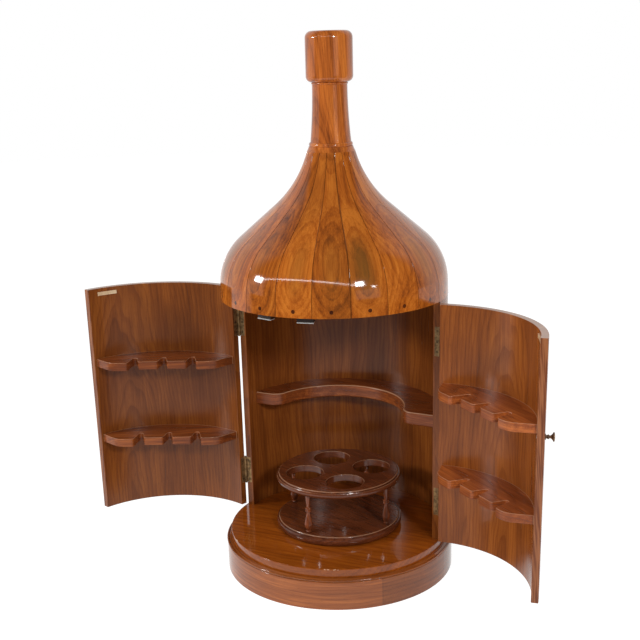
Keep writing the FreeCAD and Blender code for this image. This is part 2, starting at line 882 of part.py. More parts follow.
def knob():
    """The turned spool knob: rosette, stem, ring, waist and flared disc."""
    ring_end = knob_ring_start + knob_ring_length
    disc_middle = knob_disc_start + (knob_length - knob_disc_start) / 2
    points = [(0, 0), (knob_rosette_radius, 0), (knob_rosette_radius, knob_rosette_height)]
    points += [(knob_stem_radius, knob_rosette_height + edge_ease), (knob_stem_radius, knob_ring_start)]
    points += [(knob_ring_radius, (knob_ring_start + ring_end) / 2, True), (knob_waist_radius, ring_end)]
    points += [(knob_waist_radius, knob_waist_start)]
    flare_middle = knob_waist_radius + (knob_disc_radius - knob_waist_radius) / 4
    points += [(flare_middle, (knob_waist_start + knob_disc_start) / 2, True)]
    points += [(knob_disc_radius - edge_ease, knob_disc_start)]
    points += [(knob_disc_radius, disc_middle, True), (knob_disc_radius - edge_ease, knob_length)]
    crown = knob_length + knob_disc_crown
    points += [(knob_disc_radius * 2 / 3, knob_length + knob_disc_crown * 2 / 3, True)]
    points += [(knob_disc_radius / 4, crown), (0, crown)]
    piece = lathe_work(points)
    piece.rotate(ORIGIN, Vec(0, 1, 0), quarter_turn)
    piece.translate(Vec(body_radius, 0, deck_top + knob_height))
    return spun(piece, knob_angle()).cut(knob_screw())


def opened(shape, on_left):
    """A piece that was built closed on the left, moved to its side and swung open."""
    if on_left:
        return spun(shape, -left_open_angle, Vec(-pin_radius_from_axis, 0, 0))
    return spun(mirrored(shape), right_open_angle, Vec(pin_radius_from_axis, 0, 0))


# Revolving bottle stand

def stand_disc(radius, base, thickness):
    """A disc with a small bead over a half-round edge."""
    top = base + thickness
    bead = stand_edge_bead
    shoulder = radius - 2 * bead
    nosing_top = top - bead - stand_edge_step / 2
    points = [(0, base), (radius - bead, base)]
    points += [(radius, (base + nosing_top) / 2, True), (radius - bead / 2, nosing_top)]
    points += [(shoulder + bead / 2, nosing_top)]
    slant = 1 - math.sqrt(1 / 2)
    points += [(shoulder + bead / 2 - bead * slant, top - bead * slant, True), (shoulder - bead / 2, top)]
    points += [(0, top)]
    return lathe_work(points)


def spindle_angles():
    return [stand_turn_angle + index * full_turn / bottle_count for index in range(bottle_count)]


def spindle_tenon_holes():
    """The blind holes for the spindles' tenons in both discs."""
    foot = Vec(spindle_centre_radius, 0, stand_base_top - spindle_tenon_length)
    length = stand_top_bottom - stand_base_top + 2 * spindle_tenon_length
    rod = Part.makeCylinder(spindle_tenon_radius, length, foot)
    return Part.makeCompound([spun(rod, angle) for angle in spindle_angles()])


def stand_base():
    """The lower disc, bored from below for the pivot."""
    board = stand_disc(stand_radius, stand_base_bottom, stand_base_thickness)
    bore = disc(pivot_radius + pivot_clearance, stand_base_bottom - overrun,
                overrun + pivot_rise - stand_floor_gap + pivot_tip_gap)
    return board.cut(bore).cut(spindle_tenon_holes())


def stand_top():
    """The upper disc with a round hole for each bottle."""
    board = stand_disc(stand_radius - stand_top_setback, stand_top_bottom, stand_top_thickness)
    for angle in spindle_angles():
        hole = Part.makeCylinder(bottle_hole_radius, stand_top_thickness + 2 * overrun,
                                 Vec(bottle_hole_centre_radius, 0, stand_top_bottom - overrun))
        board = board.cut(spun(hole, angle + bottle_hole_turn_angle))
    rims = []
    for edge in board.Edges:
        curve = edge.Curve
        if isinstance(curve, Part.Circle) and abs(curve.Radius - bottle_hole_radius) < edge_ease / 10:
            rims.append(edge)
    board = board.makeFillet(bottle_hole_ease, rims)
    return board.cut(spindle_tenon_holes())


def spindle():
    """A turned baluster with a tenon at each end, at the origin's side of the stand."""
    foot = stand_base_top
    head = stand_top_bottom
    ring_low = foot + spindle_throat_height
    ring_mid = ring_low + spindle_ring_height
    ring_top = ring_mid + spindle_ring_height
    foot_top = foot + spindle_foot_height
    points = [(0, foot - spindle_tenon_length), (spindle_tenon_radius, foot - spindle_tenon_length)]
    points += [(spindle_tenon_radius, foot), (spindle_foot_neck_radius, foot)]
    points += [(spindle_foot_radius, foot + spindle_foot_height / 2, True)]
    points += [(spindle_foot_neck_radius, foot_top)]
    belly = foot + spindle_belly_height
    lower_reach = (spindle_foot_neck_radius + spindle_belly_radius * 2) / 3
    points += [(lower_reach, (foot_top + belly) / 2 - edge_ease, True), (spindle_belly_radius, belly)]
    shoulder = (spindle_belly_radius * 3 + spindle_throat_radius) / 4
    points += [(shoulder, belly + spindle_foot_height * 3 / 2, True)]
    waist_level = (belly + ring_low) / 2
    waist_radius = (spindle_belly_radius + spindle_throat_radius) / 2
    points += [(waist_radius, waist_level - edge_ease)]
    points += [(spindle_throat_radius + edge_ease, (waist_level + ring_low) / 2, True)]
    points += [(spindle_throat_radius, ring_low)]
    points += [(spindle_ring_radius, (ring_low + ring_mid) / 2, True), (spindle_shaft_radius, ring_mid)]
    points += [(spindle_ring_radius, (ring_mid + ring_top) / 2, True), (spindle_throat_radius, ring_top)]
    points += [(spindle_shaft_radius, (ring_top + head) / 2, True), (spindle_shaft_radius, head)]
    points += [(spindle_tenon_radius, head), (spindle_tenon_radius, head + spindle_tenon_length)]
    points += [(0, head + spindle_tenon_length)]
    piece = lathe_work(points)
    piece.translate(Vec(spindle_centre_radius, 0, 0))
    return piece


def stand_pivot():
    """The pivot pin in the deck, with the flange that the stand turns on."""
    low = deck_top - pivot_socket_depth
    flange_top = stand_base_bottom - pivot_flange_gap
    points = [(0, low), (pivot_radius, low), (pivot_radius, deck_top), (pivot_flange_radius, deck_top)]
    points += [(pivot_flange_radius, flange_top), (pivot_radius, flange_top)]
    points += [(pivot_radius, deck_top + pivot_rise), (0, deck_top + pivot_rise)]
    return lathe_work(points)


def build_nodes():
    """Every piece by name, as a shape or a list of separate solids."""
    nodes = {}
    case_leaves, case_screws, case_mortises = left_hinge_set(False)
    door_leaves, door_screws, door_mortises = left_hinge_set(True)
    plates_screws = strike_screws()
    both_mortises = case_mortises + [mirrored(m) for m in case_mortises]
    both_screws = case_screws + [mirrored(s) for s in case_screws]
    under_ceiling = catch_screws() + [mirrored(s) for s in catch_screws()]

    nodes["base_board"] = base_board()
    nodes["plinth_ring"] = plinth_ring()
    nodes["plinth_bead"] = plinth_bead()
    nodes["deck_board"] = deck_board()
    nodes["rear_shell"] = rear_shell(both_screws, both_mortises)
    nodes["shelf"] = shelf()
    nodes["ceiling_board"] = ceiling_board().cut(Part.makeCompound(under_ceiling))

    for index, piece in enumerate(around_dome(stave())):
        nodes["dome_stave_%02d" % (index + 1)] = piece
    nodes["dome_plugs"] = around_dome(dome_plug())
    nodes["dome_screws"] = around_dome(stave_screw())
    nodes["crown_block"] = crown_block()
    nodes["crown_dowel"] = crown_dowel()
    nodes["collar"] = collar()
    nodes["neck"] = neck()
    nodes["stopper"] = stopper()

    panel = door_panel(door_screws + plates_screws, door_mortises)
    for side, on_left in (("left", True), ("right", False)):
        own_panel = panel if on_left else panel.cut(knob_screw())
        nodes[side + "_door"] = opened(own_panel, on_left)
        shift = left_slot_shift_share if on_left else right_slot_shift_share
        for row, height in (("upper", upper_rack_top_height), ("lower", lower_rack_top_height)):
            top = deck_top + height - (0 if on_left else right_rack_drop)
            nodes[side + "_" + row + "_rack"] = opened(glass_rack(top, shift), on_left)
        nodes[side + "_strike_plate"] = opened(strike_plate(), on_left)
        nodes[side + "_door_hinge_leaves"] = [opened(leaf, on_left) for leaf in door_leaves]
        nodes[side + "_door_screws"] = [opened(s, on_left) for s in door_screws + plates_screws]
    nodes["door_knob"] = opened(knob(), False)
    nodes["knob_screw"] = opened(knob_screw(), False)

    pins = at_left_hinges(hinge_pin())
    nodes["case_hinge_leaves"] = case_leaves + [mirrored(leaf) for leaf in case_leaves]
    nodes["hinge_pins"] = pins + [mirrored(pin) for pin in pins]
    nodes["case_screws"] = both_screws + under_ceiling
    catch = catch_body().cut(Part.makeCompound(catch_screws()))
    plate = pole_plate().cut(Part.makeCompound(catch_screws()))
    nodes["door_catches"] = [catch, mirrored(catch)]
    nodes["catch_pole_plates"] = [plate, mirrored(plate)]

    nodes["stand_base"] = stand_base()
    nodes["stand_top"] = stand_top()
    for index, angle in enumerate(spindle_angles()):
        nodes["stand_spindle_%d" % (index + 1)] = spun(spindle(), angle)
    nodes["stand_pivot"] = stand_pivot()
    return nodes


def main():
    os.makedirs("parts", exist_ok=True)
    for name, shape in build_nodes().items():
        whole = Part.makeCompound(shape) if isinstance(shape, list) else shape
        solids = len(whole.Solids)
        print(name, "solids", solids, "valid", whole.isValid(), "volume", round(whole.Volume))
        if solids == 1:
            whole = whole.Solids[0]
        whole.exportStep("parts/" + name + ".step")


main()
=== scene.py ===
import json
import logging
import math
import random
from dataclasses import dataclass, field, replace
from enum import Enum
from typing import Iterable, Optional, Sequence, Union

import bpy
from mathutils import Matrix, Vector


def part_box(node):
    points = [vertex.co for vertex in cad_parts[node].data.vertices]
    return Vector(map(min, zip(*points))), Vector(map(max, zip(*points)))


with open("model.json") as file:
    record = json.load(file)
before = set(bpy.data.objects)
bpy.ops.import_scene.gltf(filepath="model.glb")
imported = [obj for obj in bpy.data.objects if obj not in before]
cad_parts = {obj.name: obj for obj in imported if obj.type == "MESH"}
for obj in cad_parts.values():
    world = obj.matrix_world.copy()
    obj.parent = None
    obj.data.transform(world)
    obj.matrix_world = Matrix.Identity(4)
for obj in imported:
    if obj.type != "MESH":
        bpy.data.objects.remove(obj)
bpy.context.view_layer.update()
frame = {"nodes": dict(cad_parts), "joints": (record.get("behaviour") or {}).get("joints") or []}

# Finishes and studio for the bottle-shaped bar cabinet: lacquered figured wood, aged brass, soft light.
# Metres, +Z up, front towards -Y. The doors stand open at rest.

log = logging.getLogger("bar_cabinet")

Colour = tuple[float, float, float]
Place = tuple[float, float]
Span = tuple[float, float]
Operand = Union["Wire", float]
Feed = Union["Wire", float, tuple]

MM = 0.001
WHITE: Colour = (1.0, 1.0, 1.0)
NOISE_MEAN = 0.5

# Angle of the studio's front about the cabinet's axis, in degrees
FACING = 26.9

# Radii of the shell and of the closed doors: where their grain is measured, and the wall inside
PANEL_RADIUS = 254.0 * MM
WALL_RADIUS = 251.5 * MM


def rgb(red: float, green: float, blue: float) -> Colour:
    """Linear colour of a screen colour.

    Args:
        red: Red, from 0 to 255.
        green: Green, from 0 to 255.
        blue: Blue, from 0 to 255.

    Returns:
        The same colour as shaders take it.
    """
    shares = (red / 255, green / 255, blue / 255)
    low, high, lift, power = 12.92, 1.055, 0.055, 2.4
    knee = 0.04045
    return tuple(s / low if s <= knee else ((s + lift) / high) ** power for s in shares)


def on_circle(radius: float, degrees: float) -> Place:
    """A place on a circle about the cabinet's axis.

    Args:
        radius: The circle's radius.
        degrees: The place's angle, from +X.

    Returns:
        Its X and Y.
    """
    turn = math.radians(degrees)
    return radius * math.cos(turn), radius * math.sin(turn)


class Wire:
    """An output socket that carries a number, on which Python's operators add Math nodes."""

    def __init__(self, bench: "ShaderBench", socket: bpy.types.NodeSocket) -> None:
        """Keeps the socket and the tree that it belongs to."""
        self.bench = bench
        self.socket = socket

    def __add__(self, other: Operand) -> "Wire":
        """Sum of the two."""
        return self.bench.math("ADD", self, other)

    def __radd__(self, other: Operand) -> "Wire":
        """Sum of the two."""
        return self.bench.math("ADD", other, self)

    def __sub__(self, other: Operand) -> "Wire":
        """This less the other."""
        return self.bench.math("SUBTRACT", self, other)

    def __rsub__(self, other: Operand) -> "Wire":
        """The other less this."""
        return self.bench.math("SUBTRACT", other, self)

    def __mul__(self, other: Operand) -> "Wire":
        """Product of the two."""
        return self.bench.math("MULTIPLY", self, other)

    def __rmul__(self, other: Operand) -> "Wire":
        """Product of the two."""
        return self.bench.math("MULTIPLY", other, self)

    def __truediv__(self, other: Operand) -> "Wire":
        """This over the other."""
        return self.bench.math("DIVIDE", self, other)

    def __rtruediv__(self, other: Operand) -> "Wire":
        """The other over this."""
        return self.bench.math("DIVIDE", other, self)

    def __abs__(self) -> "Wire":
        """Size without its sign."""
        return self.bench.math("ABSOLUTE", self)


class ShaderBench:
    """A node tree that is filled one node at a time."""

    # A Mix node has sockets for each kind of value. These are the numbers of its colours' sockets.
    mix_first: int = 6
    mix_second: int = 7
    mix_result: int = 2

    def __init__(self, tree: bpy.types.NodeTree) -> None:
        """Clears the tree."""
        self.tree = tree
        tree.nodes.clear()

    def add(self, kind: str, settings: Optional[dict] = None,
            feeds: Optional[dict] = None) -> bpy.types.Node:
        """Adds one node.

        Args:
            kind: Blender's name of the node's type.
            settings: Its properties, with a colour ramp's stops as (place, colour) pairs under "stops".
            feeds: Values or wires for its sockets, by name or number.

        Returns:
            The new node.
        """
        node = self.tree.nodes.new(kind)
        for name, value in (settings or {}).items():
            if name == "stops":
                self.set_stops(node.color_ramp, value)
            else:
                setattr(node, name, value)
        for key, value in (feeds or {}).items():
            self.plug(node.inputs[key], value)
        return node

    @staticmethod
    def set_stops(ramp: bpy.types.ColorRamp, stops: Sequence[tuple[float, Colour]]) -> None:
        """Gives a colour ramp its stops.

        Args:
            ramp: The ramp.
            stops: Place and colour of each stop, from low to high.
        """
        while len(ramp.elements) < len(stops):
            ramp.elements.new(1.0)
        for element, (place, colour) in zip(ramp.elements, stops):
            element.position = place
            element.color = (*colour, 1.0)

    def plug(self, socket: bpy.types.NodeSocket, value: Feed) -> None:
        """Links a wire to a socket, or sets the socket's own value.

        Args:
            socket: The socket.
            value: A wire, a number, or a colour or vector.
        """
        if isinstance(value, Wire):
            self.tree.links.new(value.socket, socket)
        elif isinstance(value, tuple) and len(socket.default_value) == len(value) + 1:
            socket.default_value = (*value, 1.0)
        else:
            socket.default_value = value

    def wire(self, node: bpy.types.Node, output: Union[int, str] = 0) -> Wire:
        """One output of a node."""
        return Wire(self, node.outputs[output])

    def math(self, operation: str, *operands: Operand) -> Wire:
        """A Math node's result."""
        return self.wire(self.add("ShaderNodeMath", {"operation": operation}, dict(enumerate(operands))))

    def length(self, first: Wire, second: Wire) -> Wire:
        """Length of a step that goes so far one way and so far square to it."""
        return self.math("SQRT", first * first + second * second)

    def xyz(self, x: Operand, y: Operand, z: Operand) -> Wire:
        """A vector from three numbers."""
        return self.wire(self.add("ShaderNodeCombineXYZ", None, {0: x, 1: y, 2: z}))

    def split(self, vector: Wire) -> tuple[Wire, Wire, Wire]:
        """The three numbers of a vector."""
        node = self.add("ShaderNodeSeparateXYZ", None, {0: vector})
        return self.wire(node, 0), self.wire(node, 1), self.wire(node, 2)

    def turned(self, vector: Wire, degrees: float, centre: Place = (0.0, 0.0)) -> Wire:
        """A place turned about an upright axis.

        Args:
            vector: The place.
            degrees: How far it is turned.
            centre: The axis's X and Y.

        Returns:
            The turned place.
        """
        feeds = {"Vector": vector, "Center": (*centre, 0.0), "Angle": math.radians(degrees)}
        return self.wire(self.add("ShaderNodeVectorRotate", {"rotation_type": "Z_AXIS"}, feeds))

    def noise_node(self, vector: Wire, detail: float = 2.0, roughness: float = 0.5) -> bpy.types.Node:
        """A noise texture with one swell per unit of the vector."""
        feeds = {"Vector": vector, "Scale": 1.0, "Detail": detail, "Roughness": roughness}
        return self.add("ShaderNodeTexNoise", {"noise_dimensions": "3D"}, feeds)

    def noise(self, vector: Wire, detail: float = 2.0, roughness: float = 0.5) -> Wire:
        """Smooth noise about a half."""
        return self.wire(self.noise_node(vector, detail, roughness), "Fac")

    def sway(self, vector: Wire, detail: float = 2.0, roughness: float = 0.5) -> Wire:
        """Smooth noise about zero."""
        return self.noise(vector, detail, roughness) - NOISE_MEAN

    def stray(self, vector: Wire) -> tuple[Wire, Wire]:
        """Two smooth noises about zero that differ from each other."""
        first, second, _ = self.split(self.wire(self.noise_node(vector), "Color"))
        return first - NOISE_MEAN, second - NOISE_MEAN

    def rise(self, value: Wire, low: float, high: float) -> Wire:
        """0 up to low, 1 from high, and a soft step between."""
        feeds = {"Value": value, "From Min": low, "From Max": high}
        return self.wire(self.add("ShaderNodeMapRange", {"interpolation_type": "SMOOTHSTEP"}, feeds))

    def ramp(self, value: Wire, stops: Sequence[tuple[float, Colour]]) -> Wire:
        """A colour from a number."""
        return self.wire(self.add("ShaderNodeValToRGB", {"stops": stops}, {0: value}))

    def mix(self, share: Operand, first: Feed, second: Feed) -> Wire:
        """Two colours mixed."""
        feeds = {0: share, self.mix_first: first, self.mix_second: second}
        return self.wire(self.add("ShaderNodeMix", {"data_type": "RGBA"}, feeds), self.mix_result)

    def shade(self, colour: Wire, light: Wire) -> Wire:
        """A colour made lighter or darker by a number."""
        feeds = {0: colour, 1: self.xyz(light, light, light)}
        return self.wire(self.add("ShaderNodeVectorMath", {"operation": "MULTIPLY"}, feeds))

    def paint(self, grey: float) -> Wire:
        """A matt grey surface."""
        return self.wire(self.add("ShaderNodeBsdfDiffuse", None, {0: (grey,) * 3}))

    def glow(self, strength: float) -> Wire:
        """A surface that gives white light."""
        return self.wire(self.add("ShaderNodeEmission", None, {0: WHITE, 1: strength}))

    def blend(self, share: Wire, first: Wire, second: Wire) -> Wire:
        """Two surfaces mixed."""
        return self.wire(self.add("ShaderNodeMixShader", None, {0: share, 1: first, 2: second}))

    def relief(self, shader: bpy.types.Node, height: Wire) -> None:
        """Bumps a shader's surface by a height in metres."""
        feeds = {"Strength": 1.0, "Distance": 1.0, "Height": height}
        self.plug(shader.inputs["Normal"], self.wire(self.add("ShaderNodeBump", None, feeds)))


def blank_material(name: str) -> tuple[bpy.types.Material, ShaderBench]:
    """A material with an empty node tree.

    Args:
        name: The material's name.

    Returns:
        The material and its bench.
    """
    result = bpy.data.materials.new(name)
    result.use_nodes = True
    return result, ShaderBench(result.node_tree)


def new_material(name: str) -> tuple[bpy.types.Material, ShaderBench, bpy.types.Node]:
    """A material with its Principled shader and output.

    Args:
        name: The material's name.

    Returns:
        The material, its bench and its shader.
    """
    result, bench = blank_material(name)
    shader = bench.add("ShaderNodeBsdfPrincipled")
    bench.add("ShaderNodeOutputMaterial", None, {"Surface": bench.wire(shader)})
    return result, bench, shader


@dataclass(frozen=True)
class GrainPoint:
    """A place in a board, as lengths across the grain, along it and towards the face."""

    across: Wire
    along: Wire
    depth: Wire

    def scaled(self, across: float, along: float, shift: float = 0.0) -> Wire:
        """The place as a vector for noise.

        Args:
            across: Swells per metre across the grain and into the wood.
            along: Swells per metre along the grain.
            shift: How far along the noise it is taken, so that boards differ.

        Returns:
            The vector.
        """
        length = self.along * along
        if shift:
            length = length + shift
        return self.across.bench.xyz(self.across * across, length, self.depth * across)


class Lay(Enum):
    """How a board's grain lies in the cabinet."""

    FLAT = "level board, grain along its own X"
    UPRIGHT = "turned or squared post, grain upright"
    BARREL = "curved panel about the cabinet's axis, grain upright"
    HOOP = "band about the cabinet's axis, grain along the band"
    STAVE = "dome stave, grain from rim to crown"


@dataclass(frozen=True)
class GrainFrame:
    """Where a board lies: its lay, and the turn that brings it back to its own axes."""

    lay: Lay
    turn: float = 0.0
    pivot: Place = (0.0, 0.0)
    radius: float = 0.0
    rim_level: float = 0.0
    rise_share: float = 0.84
    lean_share: float = 0.54

    def point(self, bench: ShaderBench) -> GrainPoint:
        """Grain lengths at the shaded place.

        Args:
            bench: The material's tree.

        Returns:
            The place across, along and into the wood.
        """
        place = bench.wire(bench.add("ShaderNodeTexCoord"), "Object")
        x, y, z = bench.split(bench.turned(place, self.turn, self.pivot))
        if self.lay is Lay.FLAT:
            return GrainPoint(y, x, z)
        if self.lay is Lay.UPRIGHT:
            return GrainPoint(x, z, y)
        if self.lay is Lay.STAVE:
            inward = self.radius - x
            height = z - self.rim_level
            along = height * self.rise_share + inward * self.lean_share
            depth = height * self.lean_share - inward * self.rise_share
            return GrainPoint(y, along, depth)
        arc = bench.math("ARCTAN2", y, x) * self.radius
        depth = bench.length(x, y) - self.radius
        if self.lay is Lay.BARREL:
            return GrainPoint(arc, z, depth)
        return GrainPoint(z, arc, depth)


@dataclass(frozen=True)
class Timber:
    """A wood's colours, from its light early growth to its dark lines, and its broad stain patches."""

    light: Colour
    middle: Colour
    dark: Colour
    patch: Colour
    patch_share: float = 0.4
    brown_place: float = 0.3
    middle_place: float = 0.52
    light_place: float = 0.86

    def stops(self) -> list[tuple[float, Colour]]:
        """The wood's colour at each lightness from 0 to 1."""
        brown = tuple((a + b) / 2 for a, b in zip(self.dark, self.middle))
        return [(0.0, self.dark), (self.brown_place, brown), (self.middle_place, self.middle),
                (self.light_place, self.light)]

    def tinted(self, light: float, warmth: float = 1.0) -> "Timber":
        """The same wood from another board.

        Args:
            light: How much lighter, 1 for the same.
            warmth: How much redder, 1 for the same.

        Returns:
            The changed colours.
        """
        def change(colour: Colour) -> Colour:
            """One colour, changed."""
            return colour[0] * light * warmth, colour[1] * light, colour[2] * light / warmth

        return replace(self, light=change(self.light), middle=change(self.middle),
                       dark=change(self.dark), patch=change(self.patch))


@dataclass(frozen=True)
class Figure:
    """How the log's growth rings cross a board's face.

    A pair of rates is in swells per metre across and along the grain, and that of the bands in swells
    per ring and per metre along it.
    """

    ring: float = 6.0 * MM
    heart_across: float = 0.0
    heart_depth: float = 40.0 * MM
    tilt: float = 0.06
    wander: float = 5.0 * MM
    wander_length: float = 90.0 * MM
    wander_stretch: float = 3.0
    wander_gain: float = 4.0
    middle_tone: float = 0.56
    line_share: float = 0.14
    line_start: float = 0.45
    line_peak: float = 0.93
    band_share: float = 0.8
    band_rates: Span = (0.42, 2.5)
    band_detail: float = 3.0
    band_roughness: float = 0.62
    band_gain: float = 1.6
    streak_share: float = 0.75
    streak_rates: Span = (110.0, 5.0)
    fibre_share: float = 0.6
    fibre_rates: Span = (520.0, 16.0)
    pore_rates: Span = (1100.0, 55.0)
    pore_levels: Span = (0.62, 0.74)
    seed: float = 0.0

    def reach(self, bench: ShaderBench, point: GrainPoint) -> Wire:
        """Distance from the wandering heart of the log.

        Args:
            bench: The material's tree.
            point: The place in the board.

        Returns:
            The distance in metres.
        """
        swell = 1 / self.wander_length
        swing = self.wander * self.wander_gain
        sideways, inward = bench.stray(point.scaled(swell, swell / self.wander_stretch, self.seed))
        across = point.across - self.heart_across + sideways * swing
        below = point.depth + self.heart_depth + point.along * self.tilt + inward * swing
        return bench.length(across, below)

    def tone(self, bench: ShaderBench, point: GrainPoint, reach: Wire) -> Wire:
        """Lightness of the wood, about a half.

        Args:
            bench: The material's tree.
            point: The place in the board.
            reach: Its distance from the heart of the log.

        Returns:
            A number from dark 0 to light 1.
        """
        phase = reach / self.ring
        per_ring, per_metre = self.band_rates
        where = bench.xyz(phase * per_ring, point.along * per_metre, self.seed)
        band = bench.sway(where, self.band_detail, self.band_roughness) * self.band_gain
        turn = bench.math("FRACT", phase + band)
        growth = bench.rise(turn, self.line_start, self.line_peak)
        line = growth * (1 - bench.rise(turn, self.line_peak, 1.0))
        streak = bench.sway(point.scaled(*self.streak_rates, self.seed))
        fibre = bench.sway(point.scaled(*self.fibre_rates, self.seed))
        tone = self.middle_tone + band * self.band_share + streak * self.streak_share
        return tone + fibre * self.fibre_share - line * self.line_share

    def pores(self, bench: ShaderBench, point: GrainPoint) -> Wire:
        """1 in the wood's open pores, which are short dark dashes along the grain."""
        dashes = bench.noise(point.scaled(*self.pore_rates, self.seed), detail=1.0)
        return bench.rise(dashes, *self.pore_levels)


@dataclass(frozen=True)
class Lacquer:
    """A clear coat: how sharply it mirrors, how that varies, and how wavy it lies."""

    roughness: float = 0.06
    spread: float = 0.05
    wave_depth: float = 0.02 * MM
    wave_length: float = 34.0 * MM
    wave_stretch: float = 0.7
    pore_depth: float = 0.002 * MM
    specular: float = 0.5


MIRROR_GLOSS = Lacquer()
SATIN_GLOSS = Lacquer(roughness=0.2, spread=0.1, wave_depth=0.015 * MM, specular=0.34)
DULL_GLOSS = Lacquer(roughness=0.34, spread=0.12, wave_depth=0.01 * MM)
DISC_GLOSS = Lacquer(roughness=0.12, spread=0.06)
SPINDLE_GLOSS = Lacquer(roughness=0.1, spread=0.05)


@dataclass(frozen=True)
class WoodFinish:
    """Lacquered wood whose figure runs through the board.

    Stain lies in clouds and in the log's core. Edges facing half upwards get a painted pale highlight:
    as the upward part of their normal grows, the painted highlight comes over the first span and goes
    over the second.
    """

    name: str
    timber: Timber
    grain: GrainFrame
    figure: Figure = Figure()
    lacquer: Lacquer = MIRROR_GLOSS
    patch_length: float = 150.0 * MM
    patch_stretch: float = 0.45
    patch_shift: float = 7.0
    patch_levels: Span = (0.5, 0.66)
    cloud_share: float = 0.6
    core_rings: float = 3.4
    stain_light: float = 0.35
    pore_shade: float = 0.3
    # Painted highlight: a pale colour on rounded edges that face half upwards, where light catches them
    edge_highlight_share: float = 0.0
    edge_highlight_from: Span = (0.35, 0.6)
    edge_highlight_to: Span = (0.78, 0.96)
    edge_highlight_colour: Colour = rgb(224, 180, 142)

    def marks(self, bench: ShaderBench, point: GrainPoint, colour: Wire) -> Wire:
        """Joints, seams and wear that this piece alone has. Plain wood has none."""
        return colour

    def material(self) -> bpy.types.Material:
        """Builds the material.

        Returns:
            A new material.
        """
        result, bench, shader = new_material(self.name)
        point = self.grain.point(bench)
        reach = self.figure.reach(bench, point)
        tone = self.figure.tone(bench, point, reach)
        pores = self.figure.pores(bench, point)
        colour = bench.shade(self.stained(bench, point, reach, tone), 1 - pores * self.pore_shade)
        colour = self.marks(bench, point, colour)
        # Paints a pale highlight on the edges that face half upwards
        if self.edge_highlight_share:
            colour = bench.mix(self.painted_edge_highlight(bench), colour, self.edge_highlight_colour)
        bench.plug(shader.inputs["Base Color"], colour)
        self.coat(bench, shader, point, tone, pores)
        return result

    def stained(self, bench: ShaderBench, point: GrainPoint, reach: Wire, tone: Wire) -> Wire:
        """Colour of the wood with its stain patches.

        Args:
            bench: The material's tree.
            point: The place in the board.
            reach: Its distance from the heart of the log.
            tone: Lightness of the wood.

        Returns:
            The colour.
        """
        colour = bench.ramp(tone, self.timber.stops())
        swell = 1 / self.patch_length
        where = point.scaled(swell, swell * self.patch_stretch, self.figure.seed + self.patch_shift)
        cloud = bench.rise(bench.noise(where, detail=1.5), *self.patch_levels) * self.cloud_share
        core = 1 - bench.rise(reach, 0.0, self.figure.ring * self.core_rings)
        stain = bench.mix(tone * self.stain_light, self.timber.patch, self.timber.middle)
        return bench.mix((cloud + core) * self.timber.patch_share, colour, stain)

    def painted_edge_highlight(self, bench: ShaderBench) -> Wire:
        """Share of painted pale highlight on the rounded top edges, which face half upwards."""
        _, _, upward = bench.split(bench.wire(bench.add("ShaderNodeNewGeometry"), "Normal"))
        edge = bench.rise(upward, *self.edge_highlight_from) * (1 - bench.rise(upward, *self.edge_highlight_to))
        return edge * self.edge_highlight_share

    def coat(self, bench: ShaderBench, shader: bpy.types.Node, point: GrainPoint, tone: Wire,
             pores: Wire) -> None:
        """Feeds the gloss and the waviness of the lacquer.

        Args:
            bench: The material's tree.
            shader: Its Principled shader.
            point: The place in the board.
            tone: Lightness of the wood.
            pores: 1 in its open pores.
        """
        clear = self.lacquer
        shader.inputs["Specular IOR Level"].default_value = clear.specular
        bench.plug(shader.inputs["Roughness"], clear.roughness + (1 - tone) * clear.spread)
        swell = 1 / clear.wave_length
        wave = bench.noise(point.scaled(swell, swell * clear.wave_stretch), detail=1.0)
        bench.relief(shader, wave * clear.wave_depth - pores * clear.pore_depth)


@dataclass(frozen=True)
class StaveFinish(WoodFinish):
    """A dome stave: dark hairline joints along both sides, whose edges stray a little.

    The dark of a joint fades between the two shares of its width.
    """

    half_angle: float = 9.0
    left_joint: float = 0.9 * MM
    right_joint: float = 0.9 * MM
    fade_shares: Span = (0.5, 1.4)
    stray_reach: float = 0.8 * MM
    stray_rate: float = 60.0
    joint_share: float = 0.52
    joint_colour: Colour = rgb(34, 18, 12)

    def marks(self, bench: ShaderBench, point: GrainPoint, colour: Wire) -> Wire:
        """Darkens the wood beside both joints.

        Args:
            bench: The material's tree.
            point: The place in the stave.
            colour: Colour of the wood.

        Returns:
            The colour with the joints.
        """
        inward = point.along * self.grain.lean_share - point.depth * self.grain.rise_share
        edge = (self.grain.radius - inward) * math.tan(math.radians(self.half_angle))
        stray = bench.sway(bench.xyz(point.along * self.stray_rate, self.figure.seed, 0.0))
        for side, width in ((1.0, self.right_joint), (-1.0, self.left_joint)):
            gap = edge - point.across * side + stray * self.stray_reach
            dark = 1 - bench.rise(gap, *(width * share for share in self.fade_shares))
            colour = bench.mix(dark * self.joint_share, colour, self.joint_colour)
        return colour


@dataclass(frozen=True)
class DeckFinish(WoodFinish):
    """The deck: pale ragged chips where the veneer has broken along its rim."""

    level: float = 0.0
    chip_places: tuple[Place, ...] = ()
    chip_reach: float = 11.0 * MM
    chip_core_share: float = 0.6
    chip_edge: Span = (0.9 * MM, 1.7 * MM)
    ragged_reach: float = 6.0 * MM
    ragged_rates: Span = (260.0, 120.0)
    chip_colour: Colour = rgb(228, 196, 160)

    def marks(self, bench: ShaderBench, point: GrainPoint, colour: Wire) -> Wire:
        """Lays the chips along the rim.

        Args:
            bench: The material's tree.
            point: The place in the deck.
            colour: Colour of the wood.

        Returns:
            The colour with the chips.
        """
        ragged = bench.sway(point.scaled(*self.ragged_rates), detail=3.0) * self.ragged_reach
        off_rim = abs(bench.length(point.across, point.along) - self.grain.radius)
        chip = 1 - bench.rise(off_rim + abs(point.depth - self.level) + ragged, *self.chip_edge)
        for x, y in self.chip_places:
            away = bench.length(point.along - x, point.across - y)
            near = 1 - bench.rise(away, self.chip_reach * self.chip_core_share, self.chip_reach)
            colour = bench.mix(chip * near, colour, self.chip_colour)
        return colour


